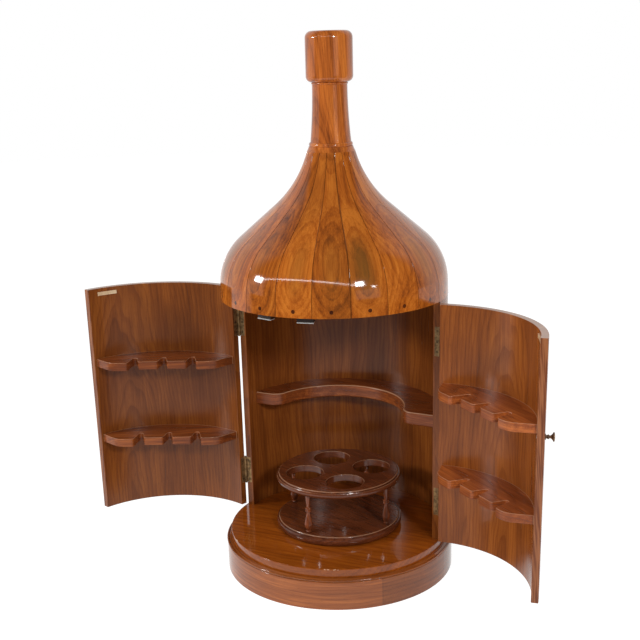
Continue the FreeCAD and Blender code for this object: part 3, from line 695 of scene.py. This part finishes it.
@dataclass(frozen=True)
class HoopFinish(WoodFinish):
    """The plinth's wrapped veneer, with one upright butt seam and a darker leaf beyond it.

    The dark of the seam fades between the two shares of its width.
    """

    seam_angle: float = -43.0
    seam_width: float = 0.5 * MM
    seam_shares: Span = (0.6, 2.2)
    seam_light: float = 0.55
    leaf_angle: float = 62.0
    leaf_shade: float = 0.24
    speck_share: float = 0.5
    speck_rates: Span = (420.0, 190.0)

    def marks(self, bench: ShaderBench, point: GrainPoint, colour: Wire) -> Wire:
        """Draws the seam and darkens the second leaf.

        Args:
            bench: The material's tree.
            point: The place in the band.
            colour: Colour of the wood.

        Returns:
            The colour with the seam.
        """
        seam = math.radians(self.seam_angle) * self.grain.radius
        end = math.radians(self.seam_angle + self.leaf_angle) * self.grain.radius
        beyond = bench.rise(point.along, seam - self.seam_width / 2, seam + self.seam_width / 2)
        beyond = beyond * (1 - bench.rise(point.along, end, end + self.seam_width))
        speck = bench.sway(point.scaled(*self.speck_rates))
        leaf = 1 - beyond * (self.leaf_shade + speck * self.speck_share)
        off = abs(point.along - seam)
        clear = bench.rise(off, *(self.seam_width * share for share in self.seam_shares))
        return bench.shade(colour, leaf * (self.seam_light + clear * (1 - self.seam_light)))


@dataclass(frozen=True)
class DoorFinish(WoodFinish):
    """A door: its free edge is capped with streaked lighter wood, and its top rim has a painted pale
    highlight.
    """

    edge_angle: float = -90.0
    cap_reach: float = 2.2 * MM
    cap_blur: float = 0.3 * MM
    cap_share: float = 0.85
    cap_levels: Span = (0.38, 0.62)
    cap_light: Colour = rgb(158, 100, 64)
    cap_dark: Colour = rgb(104, 54, 34)
    top_level: float = 0.0
    # The top rim's pale colour is a painted highlight
    rim_highlight_drops: Span = (0.5 * MM, 0.2 * MM)
    rim_highlight_share: float = 0.5
    rim_highlight_colour: Colour = rgb(196, 170, 152)

    def marks(self, bench: ShaderBench, point: GrainPoint, colour: Wire) -> Wire:
        """Streaks the cap on the free edge and paints a pale highlight on the top rim.

        Args:
            bench: The material's tree.
            point: The place in the door.
            colour: Colour of the wood.

        Returns:
            The colour with the cap and the painted rim highlight.
        """
        streak_rate, slant_rate, along_rate = 260, 18, 11
        off = abs(point.across - math.radians(self.edge_angle) * self.grain.radius)
        cap = 1 - bench.rise(off, self.cap_reach, self.cap_reach + self.cap_blur)
        sideways = point.depth * streak_rate + point.along * slant_rate
        streak = bench.noise(bench.xyz(sideways, point.along * along_rate, 0.0), detail=3.0)
        capped = bench.mix(bench.rise(streak, *self.cap_levels), self.cap_dark, self.cap_light)
        colour = bench.mix(cap * self.cap_share, colour, capped)
        # Painted highlight along the top rim
        rim = bench.rise(point.along, *(self.top_level - drop for drop in self.rim_highlight_drops))
        return bench.mix(rim * self.rim_highlight_share, colour, self.rim_highlight_colour)


@dataclass(frozen=True)
class RackFinish(WoodFinish):
    """A glass rack: a painted pale highlight line where it meets the door's wall.

    The axis is that of the wall, as lengths along and across the rack's grain.
    """

    axis: Place = (0.0, 0.0)
    wall_radius: float = WALL_RADIUS
    line_width: float = 1.3 * MM
    fade_share: float = 1.6
    # Pale line painted where the rack meets the wall: a painted highlight
    line_highlight_share: float = 0.6
    line_highlight_colour: Colour = rgb(196, 150, 112)

    def marks(self, bench: ShaderBench, point: GrainPoint, colour: Wire) -> Wire:
        """Paints the highlight line along the wall.

        Args:
            bench: The material's tree.
            point: The place in the rack.
            colour: Colour of the wood.

        Returns:
            The colour with the painted highlight line.
        """
        x, y = self.axis
        off_axis = bench.length(point.along - x, point.across - y)
        fades_from = self.wall_radius - self.line_width * self.fade_share
        # Painted highlight line along the wall
        line = bench.rise(off_axis, fades_from, self.wall_radius - self.line_width)
        return bench.mix(line * self.line_highlight_share, colour, self.line_highlight_colour)


@dataclass(frozen=True)
class MetalFinish:
    """A metal with a tarnished skin, rubbed brighter in places, under a fine mottle."""

    name: str
    bright: Colour
    tarnish: Colour
    rubbed_share: float = 0.5
    rubbed_gain: float = 0.4
    rubbed_blur: float = 0.2
    roughness: float = 0.3
    tarnish_roughness: float = 0.5
    metal_share: float = 1.0
    blotch_length: float = 9.0 * MM
    blotch_detail: float = 4.0
    blotch_roughness: float = 0.6
    mottle_rate: float = 1400.0
    mottle_shade: float = 0.14
    mottle_gloss: float = 0.12
    mottle_depth: float = 0.00083 * MM
    pit_depth: float = 0.01 * MM

    def material(self) -> bpy.types.Material:
        """Builds the material.

        Returns:
            A new material.
        """
        result, bench, shader = new_material(self.name)
        x, y, z = bench.split(bench.wire(bench.add("ShaderNodeTexCoord"), "Object"))
        swell = 1 / self.blotch_length
        where = bench.xyz(x * swell, y * swell, z * swell)
        blotch = bench.noise(where, self.blotch_detail, self.blotch_roughness)
        middle = NOISE_MEAN + (0.5 - self.rubbed_share) * self.rubbed_gain
        rubbed = bench.rise(blotch, middle - self.rubbed_blur, middle + self.rubbed_blur)
        rate = self.mottle_rate
        mottle = bench.sway(bench.xyz(x * rate, y * rate, z * rate))
        colour = bench.mix(rubbed, self.tarnish, self.bright)
        bench.plug(shader.inputs["Base Color"], bench.shade(colour, 1 + mottle * self.mottle_shade))
        shader.inputs["Metallic"].default_value = self.metal_share
        rough = self.tarnish_roughness + rubbed * (self.roughness - self.tarnish_roughness)
        bench.plug(shader.inputs["Roughness"], rough + mottle * self.mottle_gloss)
        bench.relief(shader, blotch * self.pit_depth + mottle * self.mottle_depth)
        return result


def dress(material: bpy.types.Material, *names: str) -> None:
    """Gives CAD nodes a finish.

    Args:
        material: The finish.
        names: The nodes.
    """
    for name in names:
        for slot in frame["nodes"][name].material_slots:
            slot.link = "OBJECT"
            slot.material = material
        log.info("%s: %s", name, material.name)


# Timbers: light, middle and dark wood, then the stain patches

DOME_TIMBER = Timber(rgb(205, 118, 40), rgb(174, 90, 26), rgb(98, 44, 14), rgb(112, 80, 34))
NECK_TIMBER = Timber(rgb(216, 124, 50), rgb(184, 98, 38), rgb(108, 50, 20), rgb(140, 72, 30))
BASE_TIMBER = Timber(rgb(196, 114, 54), rgb(160, 87, 39), rgb(104, 50, 21), rgb(122, 68, 32))
DECK_TIMBER = Timber(rgb(182, 98, 27), rgb(150, 74, 17), rgb(96, 43, 11), rgb(120, 62, 18))
PANEL_TIMBER = Timber(rgb(164, 95, 38), rgb(130, 69, 26), rgb(78, 37, 14), rgb(86, 38, 16), 0.6)
SHELF_TIMBER = Timber(rgb(168, 92, 42), rgb(132, 67, 31), rgb(82, 38, 18), rgb(104, 50, 24))
STAND_TIMBER = Timber(rgb(130, 68, 36), rgb(96, 48, 26), rgb(54, 26, 15), rgb(72, 36, 21))
PLUG_TIMBER = Timber(rgb(104, 52, 22), rgb(80, 38, 16), rgb(48, 22, 10), rgb(60, 30, 14))
BOARD_TIMBER = Timber(rgb(150, 104, 62), rgb(126, 84, 48), rgb(84, 52, 28), rgb(104, 66, 38))

# Even figure of the wide panels
PANEL_FIGURE = Figure(band_share=0.42, streak_share=0.35, fibre_share=0.4)


@dataclass
class Dome:
    """The coopered dome: staves, each with its own figure, and the plugs over their screws.

    Staves are numbered round the cabinet. The spans are those that a stave's own figure and colour are
    drawn from, and the tables hold what is set one by one for the staves at the front.
    """

    stave_count: int = 20
    first_joint: float = 16.4
    radius: float = 268.5 * MM
    seed: int = 11
    seed_step: float = 3.7
    hearts_across: Span = (-22 * MM, 22 * MM)
    hearts_outside: Span = (38 * MM, 56 * MM)
    tilts: Span = (-0.03, 0.06)
    rings: Span = (8 * MM, 11 * MM)
    lights: Span = (0.92, 1.06)
    warmths: Span = (0.97, 1.03)
    olives: Span = (0.2, 0.7)
    open_joint: float = 1.7 * MM
    open_joint_after: int = 16
    own_figures: dict[int, dict[str, float]] = field(default_factory=lambda: {
        14: {"heart_across": -16 * MM, "heart_depth": -46 * MM, "tilt": 0.05},
        15: {"heart_across": 4 * MM, "heart_depth": -43 * MM, "tilt": 0.0},
        16: {"heart_across": 2 * MM, "heart_depth": -52 * MM, "tilt": 0.06},
        17: {"heart_across": -4 * MM, "heart_depth": -40 * MM, "tilt": 0.0},
        18: {"heart_across": 46 * MM, "heart_depth": 30 * MM, "tilt": 0.02},
    })
    own_lights: dict[int, float] = field(default_factory=lambda: {15: 0.9, 16: 0.84, 17: 0.86})
    own_olives: dict[int, float] = field(default_factory=lambda: {14: 0.2, 15: 0.4, 16: 0.25, 17: 0.62})

    def build(self) -> None:
        """Dresses the staves one by one, then the plugs."""
        draw = random.Random(self.seed)
        for index in range(self.stave_count):
            number = index + 1
            dress(self.stave(number, draw).material(), "dome_stave_%02d" % number)
        plugs = WoodFinish("plug end grain", PLUG_TIMBER, GrainFrame(Lay.UPRIGHT), Figure(ring=1.6 * MM))
        dress(plugs.material(), "dome_plugs")

    def stave(self, number: int, draw: random.Random) -> StaveFinish:
        """One stave's finish.

        Args:
            number: The stave's number, from 1.
            draw: What its own figure and colour are drawn with.

        Returns:
            The finish.
        """
        pitch = 360 / self.stave_count
        middle = self.first_joint + (number - 0.5) * pitch
        rim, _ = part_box("dome_stave_%02d" % number)
        sizes = {"heart_across": draw.uniform(*self.hearts_across),
                 "heart_depth": -draw.uniform(*self.hearts_outside),
                 "tilt": draw.uniform(*self.tilts),
                 "ring": draw.uniform(*self.rings)}
        light = draw.uniform(*self.lights)
        warmth = draw.uniform(*self.warmths)
        olive = draw.uniform(*self.olives)
        # What the tables set comes after the draws, so that it doesn't change the other staves.
        sizes.update(self.own_figures.get(number, {}))
        light = light * self.own_lights.get(number, 1.0)
        olive = self.own_olives.get(number, olive)
        timber = replace(DOME_TIMBER.tinted(light, warmth), patch_share=olive)
        joints = {}
        if number == self.open_joint_after:
            joints["right_joint"] = self.open_joint
        if number == self.open_joint_after + 1:
            joints["left_joint"] = self.open_joint
        return StaveFinish("stave %02d" % number, timber,
                           GrainFrame(Lay.STAVE, -middle, radius=self.radius, rim_level=rim.z),
                           Figure(seed=number * self.seed_step, **sizes), half_angle=pitch / 2, **joints)


@dataclass
class BottleTop:
    """Collar, neck and stopper, turned from one kind of wood.

    Each board has its seed, how far the log's heart lies behind its face, and how light it is.
    """

    boards: dict[str, tuple[float, float, float]] = field(default_factory=lambda: {
        "collar": (2.3, 24 * MM, 0.85),
        "neck": (5.1, 70 * MM, 0.98),
        "stopper": (9.4, 60 * MM, 1.0),
    })
    turn: float = 35.0

    def build(self) -> None:
        """Dresses the three turned pieces."""
        for node, (seed, heart, light) in self.boards.items():
            figure = Figure(ring=6 * MM, heart_across=heart / 2, heart_depth=heart, tilt=0.09,
                            wander=7 * MM, band_share=0.7, seed=seed)
            finish = WoodFinish(node + " wood", NECK_TIMBER.tinted(light),
                                GrainFrame(Lay.UPRIGHT, self.turn), figure)
            dress(finish.material(), node)


@dataclass
class Base:
    """Plinth, bead and deck, and the plain boards that carry them and the dome."""

    bead_light: float = 0.8
    chip_angles: tuple[float, ...] = (-130.1, -69.1, -65.1)
    board_turn: float = 20.0

    def build(self) -> None:
        """Dresses the base from the floor up."""
        _, plinth_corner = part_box("plinth_ring")
        _, deck_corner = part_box("deck_board")
        plinth = HoopFinish("plinth veneer", BASE_TIMBER, GrainFrame(Lay.HOOP, radius=plinth_corner.x),
                            Figure(ring=9 * MM, heart_across=-50 * MM, heart_depth=50 * MM, tilt=0.02,
                                   band_share=0.45, streak_share=0.55, seed=3.0))
        dress(plinth.material(), "plinth_ring")
        bead = WoodFinish("bead moulding", BASE_TIMBER.tinted(self.bead_light),
                          GrainFrame(Lay.HOOP, radius=plinth_corner.x), Figure(seed=8.0))
        dress(bead.material(), "plinth_bead")
        places = tuple(on_circle(deck_corner.x, angle) for angle in self.chip_angles)
        deck = DeckFinish("deck veneer", DECK_TIMBER, GrainFrame(Lay.FLAT, radius=deck_corner.x),
                          Figure(ring=11 * MM, heart_across=50 * MM, heart_depth=120 * MM, tilt=0.05,
                                 band_share=0.45, streak_share=0.5, seed=5.0),
                          level=deck_corner.z, chip_places=places)
        dress(deck.material(), "deck_board")
        board = WoodFinish("carcass board", BOARD_TIMBER, GrainFrame(Lay.FLAT, self.board_turn),
                           Figure(seed=1.0), DULL_GLOSS)
        dress(board.material(), "base_board", "ceiling_board", "crown_block", "crown_dowel")


@dataclass
class Case:
    """The fixed half-round shell and its serpentine shelf."""

    radius: float = PANEL_RADIUS
    # Share of painted highlight on the shelf's upward-facing edges
    shelf_edge_highlight: float = 0.5

    def build(self) -> None:
        """Dresses the shell and the shelf."""
        figure = replace(PANEL_FIGURE, ring=11 * MM, heart_across=60 * MM, heart_depth=20 * MM,
                         wander=14 * MM, seed=12.0)
        shell = WoodFinish("shell veneer", PANEL_TIMBER, GrainFrame(Lay.BARREL, radius=self.radius),
                           figure, SATIN_GLOSS)
        dress(shell.material(), "rear_shell")
        figure = Figure(ring=7 * MM, heart_across=100 * MM, heart_depth=100 * MM, seed=14.0)
        # The shelf's rounded top edges get a painted pale highlight
        shelf = WoodFinish("shelf wood", SHELF_TIMBER, GrainFrame(Lay.FLAT), figure, SATIN_GLOSS,
                           edge_highlight_share=self.shelf_edge_highlight)
        dress(shelf.material(), "shelf")


@dataclass
class Door:
    """One quarter-round door with its two glass racks.

    Its angles are those of the closed door, and the racks' seeds follow the door's by a step each.
    """

    side: str
    rack_angle: float
    heart_angle: float
    light: float
    seed: float
    radius: float = PANEL_RADIUS
    # Share of painted highlight on the racks' upward-facing edges
    rack_edge_highlight: float = 0.5
    rack_seed_steps: dict[str, float] = field(default_factory=lambda: {"upper": 2.0, "lower": 6.0})

    def build(self) -> None:
        """Dresses the panel and the racks."""
        swing = next(joint for joint in frame["joints"] if joint["name"] == self.side + "_door_swing")
        # The upper limit closes the door, so it is also how far the door stands open at rest.
        open_angle = swing["axis"][2] * swing["range_deg"][1]
        pivot = tuple(swing["pos_m"][:2])
        self.dress_panel(open_angle, pivot)
        self.dress_racks(open_angle, Vector(pivot))

    def dress_panel(self, open_angle: float, pivot: Place) -> None:
        """Dresses the curved panel.

        Args:
            open_angle: How far the door stands open, in degrees.
            pivot: X and Y of its hinge line.
        """
        _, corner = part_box(self.side + "_door")
        heart = math.radians(self.heart_angle) * self.radius
        figure = replace(PANEL_FIGURE, ring=9 * MM, heart_across=heart, heart_depth=0.0, tilt=0.12,
                         wander=12 * MM, seed=self.seed)
        panel = DoorFinish(self.side + " door veneer", PANEL_TIMBER.tinted(self.light),
                           GrainFrame(Lay.BARREL, open_angle, pivot, self.radius), figure, SATIN_GLOSS,
                           top_level=corner.z)
        dress(panel.material(), self.side + "_door")

    def dress_racks(self, open_angle: float, pivot: Vector) -> None:
        """Dresses the racks, whose painted highlight lines lie on the door's own wall.

        Args:
            open_angle: How far the door stands open, in degrees.
            pivot: X and Y of its hinge line.
        """
        turn = open_angle + self.rack_angle
        axis = self.turned(pivot - self.turned(pivot, -open_angle), turn)
        for level, step in self.rack_seed_steps.items():
            figure = Figure(ring=6 * MM, heart_across=100 * MM, heart_depth=80 * MM,
                            seed=self.seed + step)
            # Each rack's rounded top edges get a painted pale highlight
            rack = RackFinish("%s %s rack wood" % (self.side, level), SHELF_TIMBER.tinted(self.light),
                              GrainFrame(Lay.FLAT, turn), figure, SATIN_GLOSS,
                              edge_highlight_share=self.rack_edge_highlight, axis=tuple(axis))
            dress(rack.material(), "%s_%s_rack" % (self.side, level))

    @staticmethod
    def turned(place: Vector, angle: float) -> Vector:
        """A place turned about the cabinet's axis."""
        return Matrix.Rotation(math.radians(angle), 2) @ place


@dataclass
class BottleStand:
    """The revolving stand: two discs and four turned spindles in dark wood."""

    spindle_count: int = 4
    grain_turn: float = 20.0
    # Share of painted highlight on the discs' upward-facing edges
    disc_edge_highlight: float = 0.3
    spindle_light: float = 1.4

    def build(self) -> None:
        """Dresses the discs and the spindles."""
        for node, seed in (("stand_base", 21.0), ("stand_top", 23.0)):
            # Each disc's rounded top edges get a painted pale highlight
            finish = WoodFinish(node.replace("_", " ") + " wood", STAND_TIMBER,
                                GrainFrame(Lay.FLAT, self.grain_turn),
                                Figure(ring=8 * MM, band_share=0.35, streak_share=0.4, seed=seed),
                                DISC_GLOSS, edge_highlight_share=self.disc_edge_highlight)
            dress(finish.material(), node)
        spindle = WoodFinish("spindle wood", STAND_TIMBER.tinted(self.spindle_light),
                             GrainFrame(Lay.UPRIGHT), Figure(ring=3 * MM, seed=25.0), SPINDLE_GLOSS)
        dress(spindle.material(), *("stand_spindle_%d" % (i + 1) for i in range(self.spindle_count)))


@dataclass
class Hardware:
    """Hinges, screws, strike plates, catches, knob and pivot: each finish and the nodes that have it."""

    finishes: tuple[tuple[MetalFinish, tuple[str, ...]], ...] = (
        (MetalFinish("aged hinge brass", rgb(176, 140, 94), rgb(108, 84, 56), rubbed_share=0.45,
                     roughness=0.34, metal_share=0.7),
         ("case_hinge_leaves", "left_door_hinge_leaves", "right_door_hinge_leaves", "hinge_pins")),
        (MetalFinish("aged screw brass", rgb(104, 80, 52), rgb(56, 42, 30), roughness=0.34,
                     metal_share=0.6),
         ("case_screws", "left_door_screws", "right_door_screws")),
        (MetalFinish("satin strike brass", rgb(240, 212, 172), rgb(216, 184, 142), rubbed_share=0.75,
                     roughness=0.34, tarnish_roughness=0.42, metal_share=0.4),
         ("left_strike_plate", "right_strike_plate")),
        (MetalFinish("dark knob bronze", rgb(176, 142, 108), rgb(92, 72, 58), rubbed_share=0.4,
                     roughness=0.26, tarnish_roughness=0.4, metal_share=0.6),
         ("door_knob",)),
        (MetalFinish("bright catch steel", rgb(244, 243, 240), rgb(214, 212, 208), rubbed_share=0.8,
                     roughness=0.16, tarnish_roughness=0.3, metal_share=0.6),
         ("catch_pole_plates", "knob_screw", "dome_screws", "stand_pivot")),
        (MetalFinish("brown catch housing", rgb(52, 34, 26), rgb(40, 26, 20), roughness=0.4,
                     metal_share=0.0),
         ("door_catches",)),
    )

    def build(self) -> None:
        """Dresses every metal piece."""
        for finish, nodes in self.finishes:
            dress(finish.material(), *nodes)


@dataclass
class Camera:
    """The viewpoint, from the place, aim and lens that the round rims and upright edges give."""

    facing: float = FACING
    distance: float = 2.5342
    height: float = 1.2326
    pitch: float = 17.769
    roll: float = 1.55
    yaw: float = -0.917
    lens_mm: float = 61.273
    sensor_mm: float = 36.0
    shift_up: float = 0.125

    def build(self) -> None:
        """Places the camera and makes it the scene's own."""
        pitch, roll, yaw = (math.radians(v) for v in (self.pitch, self.roll, self.yaw))
        ahead = Vector((math.sin(yaw) * math.cos(pitch), math.cos(yaw) * math.cos(pitch),
                        -math.sin(pitch)))
        right = Vector((math.cos(yaw), -math.sin(yaw), 0.0))
        down = ahead.cross(right)
        rolled_right = right * math.cos(roll) + down * math.sin(roll)
        rolled_down = down * math.cos(roll) - right * math.sin(roll)
        axes = Matrix((rolled_right, -rolled_down, -ahead)).transposed().to_4x4()
        place = Matrix.Translation((0.0, -self.distance, self.height))
        data = bpy.data.cameras.new("studio_camera")
        data.sensor_width = self.sensor_mm
        data.lens = self.lens_mm
        data.shift_y = self.shift_up
        camera = bpy.data.objects.new("studio_camera", data)
        camera.matrix_world = Matrix.Rotation(math.radians(self.facing), 4, "Z") @ place @ axes
        bpy.context.scene.collection.objects.link(camera)
        bpy.context.scene.camera = camera
        log.info("camera at %s", tuple(round(v, 4) for v in camera.matrix_world.translation))


@dataclass(frozen=True)
class Lamp:
    """A rectangular studio lamp, placed by its direction as seen from the dome."""

    name: str
    azimuth: float
    elevation: float
    distance: float
    width: float
    height: float
    radiance: float


@dataclass
class Studio:
    """Floor, surroundings and lamps.

    Angles are in degrees from the studio's front, positive to its right, or above the floor. A panel is
    a lit part of the room that only mirrors show: its middle, half its width, and its glow.
    """

    facing: float = FACING
    aim_height: float = 0.8
    floor_radius: float = 12.0
    floor_corners: int = 96
    floor_drop: float = 0.4 * MM
    floor_glow: float = 0.92
    floor_paint: float = 0.3
    floor_bounce: float = 0.8
    floor_mirror: float = 0.95
    bright_floor: Span = (1.5, 2.4)
    sweep_from: Span = (-0.4, 0.5)
    fill: float = 0.42
    backdrop: float = 0.92
    room: float = 0.05
    backdrop_from: float = 98.0
    backdrop_blur: float = 12.0
    backdrop_top: Span = (38.0, 66.0)
    panels: tuple[tuple[float, float, float], ...] = ((-87.0, 13.0, 0.7), (33.0, 12.0, 0.7))
    panel_blur: float = 2.0
    panel_foot: Span = (-7.0, -4.0)
    panel_top: Span = (11.0, 14.0)
    lamps: tuple[Lamp, ...] = (
        Lamp("left_lamp", -80.0, 15.5, 3.0, 0.46, 0.36, 64.0),
        Lamp("right_lamp", 25.0, 20.0, 3.0, 0.40, 0.34, 64.0),
        Lamp("small_lamp", 38.0, 13.5, 3.0, 0.18, 0.16, 26.0),
        Lamp("light_bar", -26.0, 27.0, 3.23, 7.7, 0.11, 12.0),
    )

    def direction(self, azimuth: float, elevation: float) -> Vector:
        """Unit vector towards a place in the studio.

        Args:
            azimuth: The place's angle from the studio's front.
            elevation: Its angle above the floor.

        Returns:
            The vector.
        """
        turn = math.radians(azimuth + self.facing)
        rise = math.radians(elevation)
        return Vector((math.sin(turn) * math.cos(rise), -math.cos(turn) * math.cos(rise),
                       math.sin(rise)))

    def build(self) -> None:
        """Builds the studio."""
        for lamp in self.lamps:
            self.hang(lamp)
        self.lay_floor()
        self.surround()

    def hang(self, lamp: Lamp) -> None:
        """Hangs one lamp, turned towards the dome.

        Args:
            lamp: The lamp.
        """
        data = bpy.data.lights.new(lamp.name, "AREA")
        data.shape = "RECTANGLE"
        data.size = lamp.width
        data.size_y = lamp.height
        data.energy = lamp.radiance * math.pi * lamp.width * lamp.height
        towards = self.direction(lamp.azimuth, lamp.elevation)
        place = Vector((0.0, 0.0, self.aim_height)) + towards * lamp.distance
        aim = towards.to_track_quat("Z", "Y").to_matrix().to_4x4()
        light = bpy.data.objects.new(lamp.name, data)
        light.matrix_world = Matrix.Translation(place) @ aim
        light.visible_camera = False
        bpy.context.scene.collection.objects.link(light)

    def lay_floor(self) -> None:
        """Lays the pale floor, which keeps the cabinet's shadow."""
        angles = (360 * index / self.floor_corners for index in range(self.floor_corners))
        rim = [(*on_circle(self.floor_radius, angle), -self.floor_drop) for angle in angles]
        mesh = bpy.data.meshes.new("floor")
        mesh.from_pydata(rim, [], [tuple(range(len(rim)))])
        mesh.materials.append(self.floor_material())
        floor = bpy.data.objects.new("floor", mesh)
        bpy.context.scene.collection.objects.link(floor)

    def floor_material(self) -> bpy.types.Material:
        """White to the eye, paint to soft light, and a white patch round the cabinet in mirrors.

        Returns:
            The floor's material.
        """
        result, bench = blank_material("pale floor")
        rays = bench.add("ShaderNodeLightPath")
        x, y, _ = bench.split(bench.wire(bench.add("ShaderNodeNewGeometry"), "Position"))
        front = self.direction(0.0, 0.0)
        dark = bench.rise(bench.length(x, y), *self.bright_floor)
        dark = dark * bench.rise(x * front.x + y * front.y, *self.sweep_from)
        seen = bench.wire(bench.add("ShaderNodeAddShader", None, {
            0: bench.paint(self.floor_paint), 1: bench.glow(self.floor_glow)}))
        mirrored = bench.blend(dark, bench.glow(self.room + self.floor_mirror), bench.glow(self.room))
        unseen = bench.blend(bench.wire(rays, "Is Glossy Ray"), bench.paint(self.floor_bounce), mirrored)
        final = bench.blend(bench.wire(rays, "Is Camera Ray"), unseen, seen)
        bench.add("ShaderNodeOutputMaterial", None, {"Surface": final})
        return result

    def surround(self) -> None:
        """Sets the surroundings: white to the eye, soft to matt wood, and a lit room in mirrors."""
        world = bpy.data.worlds.new("studio")
        world.use_nodes = True
        bench = ShaderBench(world.node_tree)
        rays = bench.add("ShaderNodeLightPath")
        view = bench.wire(bench.add("ShaderNodeTexCoord"), "Generated")
        x, y, z = bench.split(bench.turned(view, -self.facing))
        radian = math.degrees(1.0)
        azimuth = bench.math("ARCTAN2", x, 0 - y) * radian
        level = bench.math("ARCSINE", z) * radian
        behind = bench.rise(abs(azimuth), self.backdrop_from - self.backdrop_blur,
                            self.backdrop_from + self.backdrop_blur)
        behind = behind * (1 - bench.rise(level, *self.backdrop_top))
        mirror = self.room + behind * (self.backdrop - self.room)
        upright = bench.rise(level, *self.panel_foot) * (1 - bench.rise(level, *self.panel_top))
        for middle, half, glow in self.panels:
            off = abs(azimuth - middle)
            inside = 1 - bench.rise(off, half - self.panel_blur, half + self.panel_blur)
            mirror = mirror + inside * upright * glow
        soft = self.fill + bench.wire(rays, "Is Glossy Ray") * (mirror - self.fill)
        strength = soft + bench.wire(rays, "Is Camera Ray") * (1 - soft)
        back = bench.add("ShaderNodeBackground", None, {0: WHITE, 1: strength})
        bench.add("ShaderNodeOutputWorld", None, {"Surface": bench.wire(back)})
        world.cycles.sampling_method = "NONE"
        bpy.context.scene.world = world
        bpy.context.scene.view_settings.view_transform = "Standard"


def main() -> None:
    """Builds the camera, the cabinet's sub-assemblies and the studio."""
    logging.basicConfig(level=logging.INFO, format="%(name)s: %(message)s")
    Camera().build()
    Dome().build()
    BottleTop().build()
    Base().build()
    Case().build()
    Door(side="left", rack_angle=45.0, heart_angle=-110.0, light=0.92, seed=31.0).build()
    Door(side="right", rack_angle=135.0, heart_angle=-40.0, light=1.3, seed=37.0).build()
    BottleStand().build()
    Hardware().build()
    Studio().build()


if __name__ == "__main__":
    main()
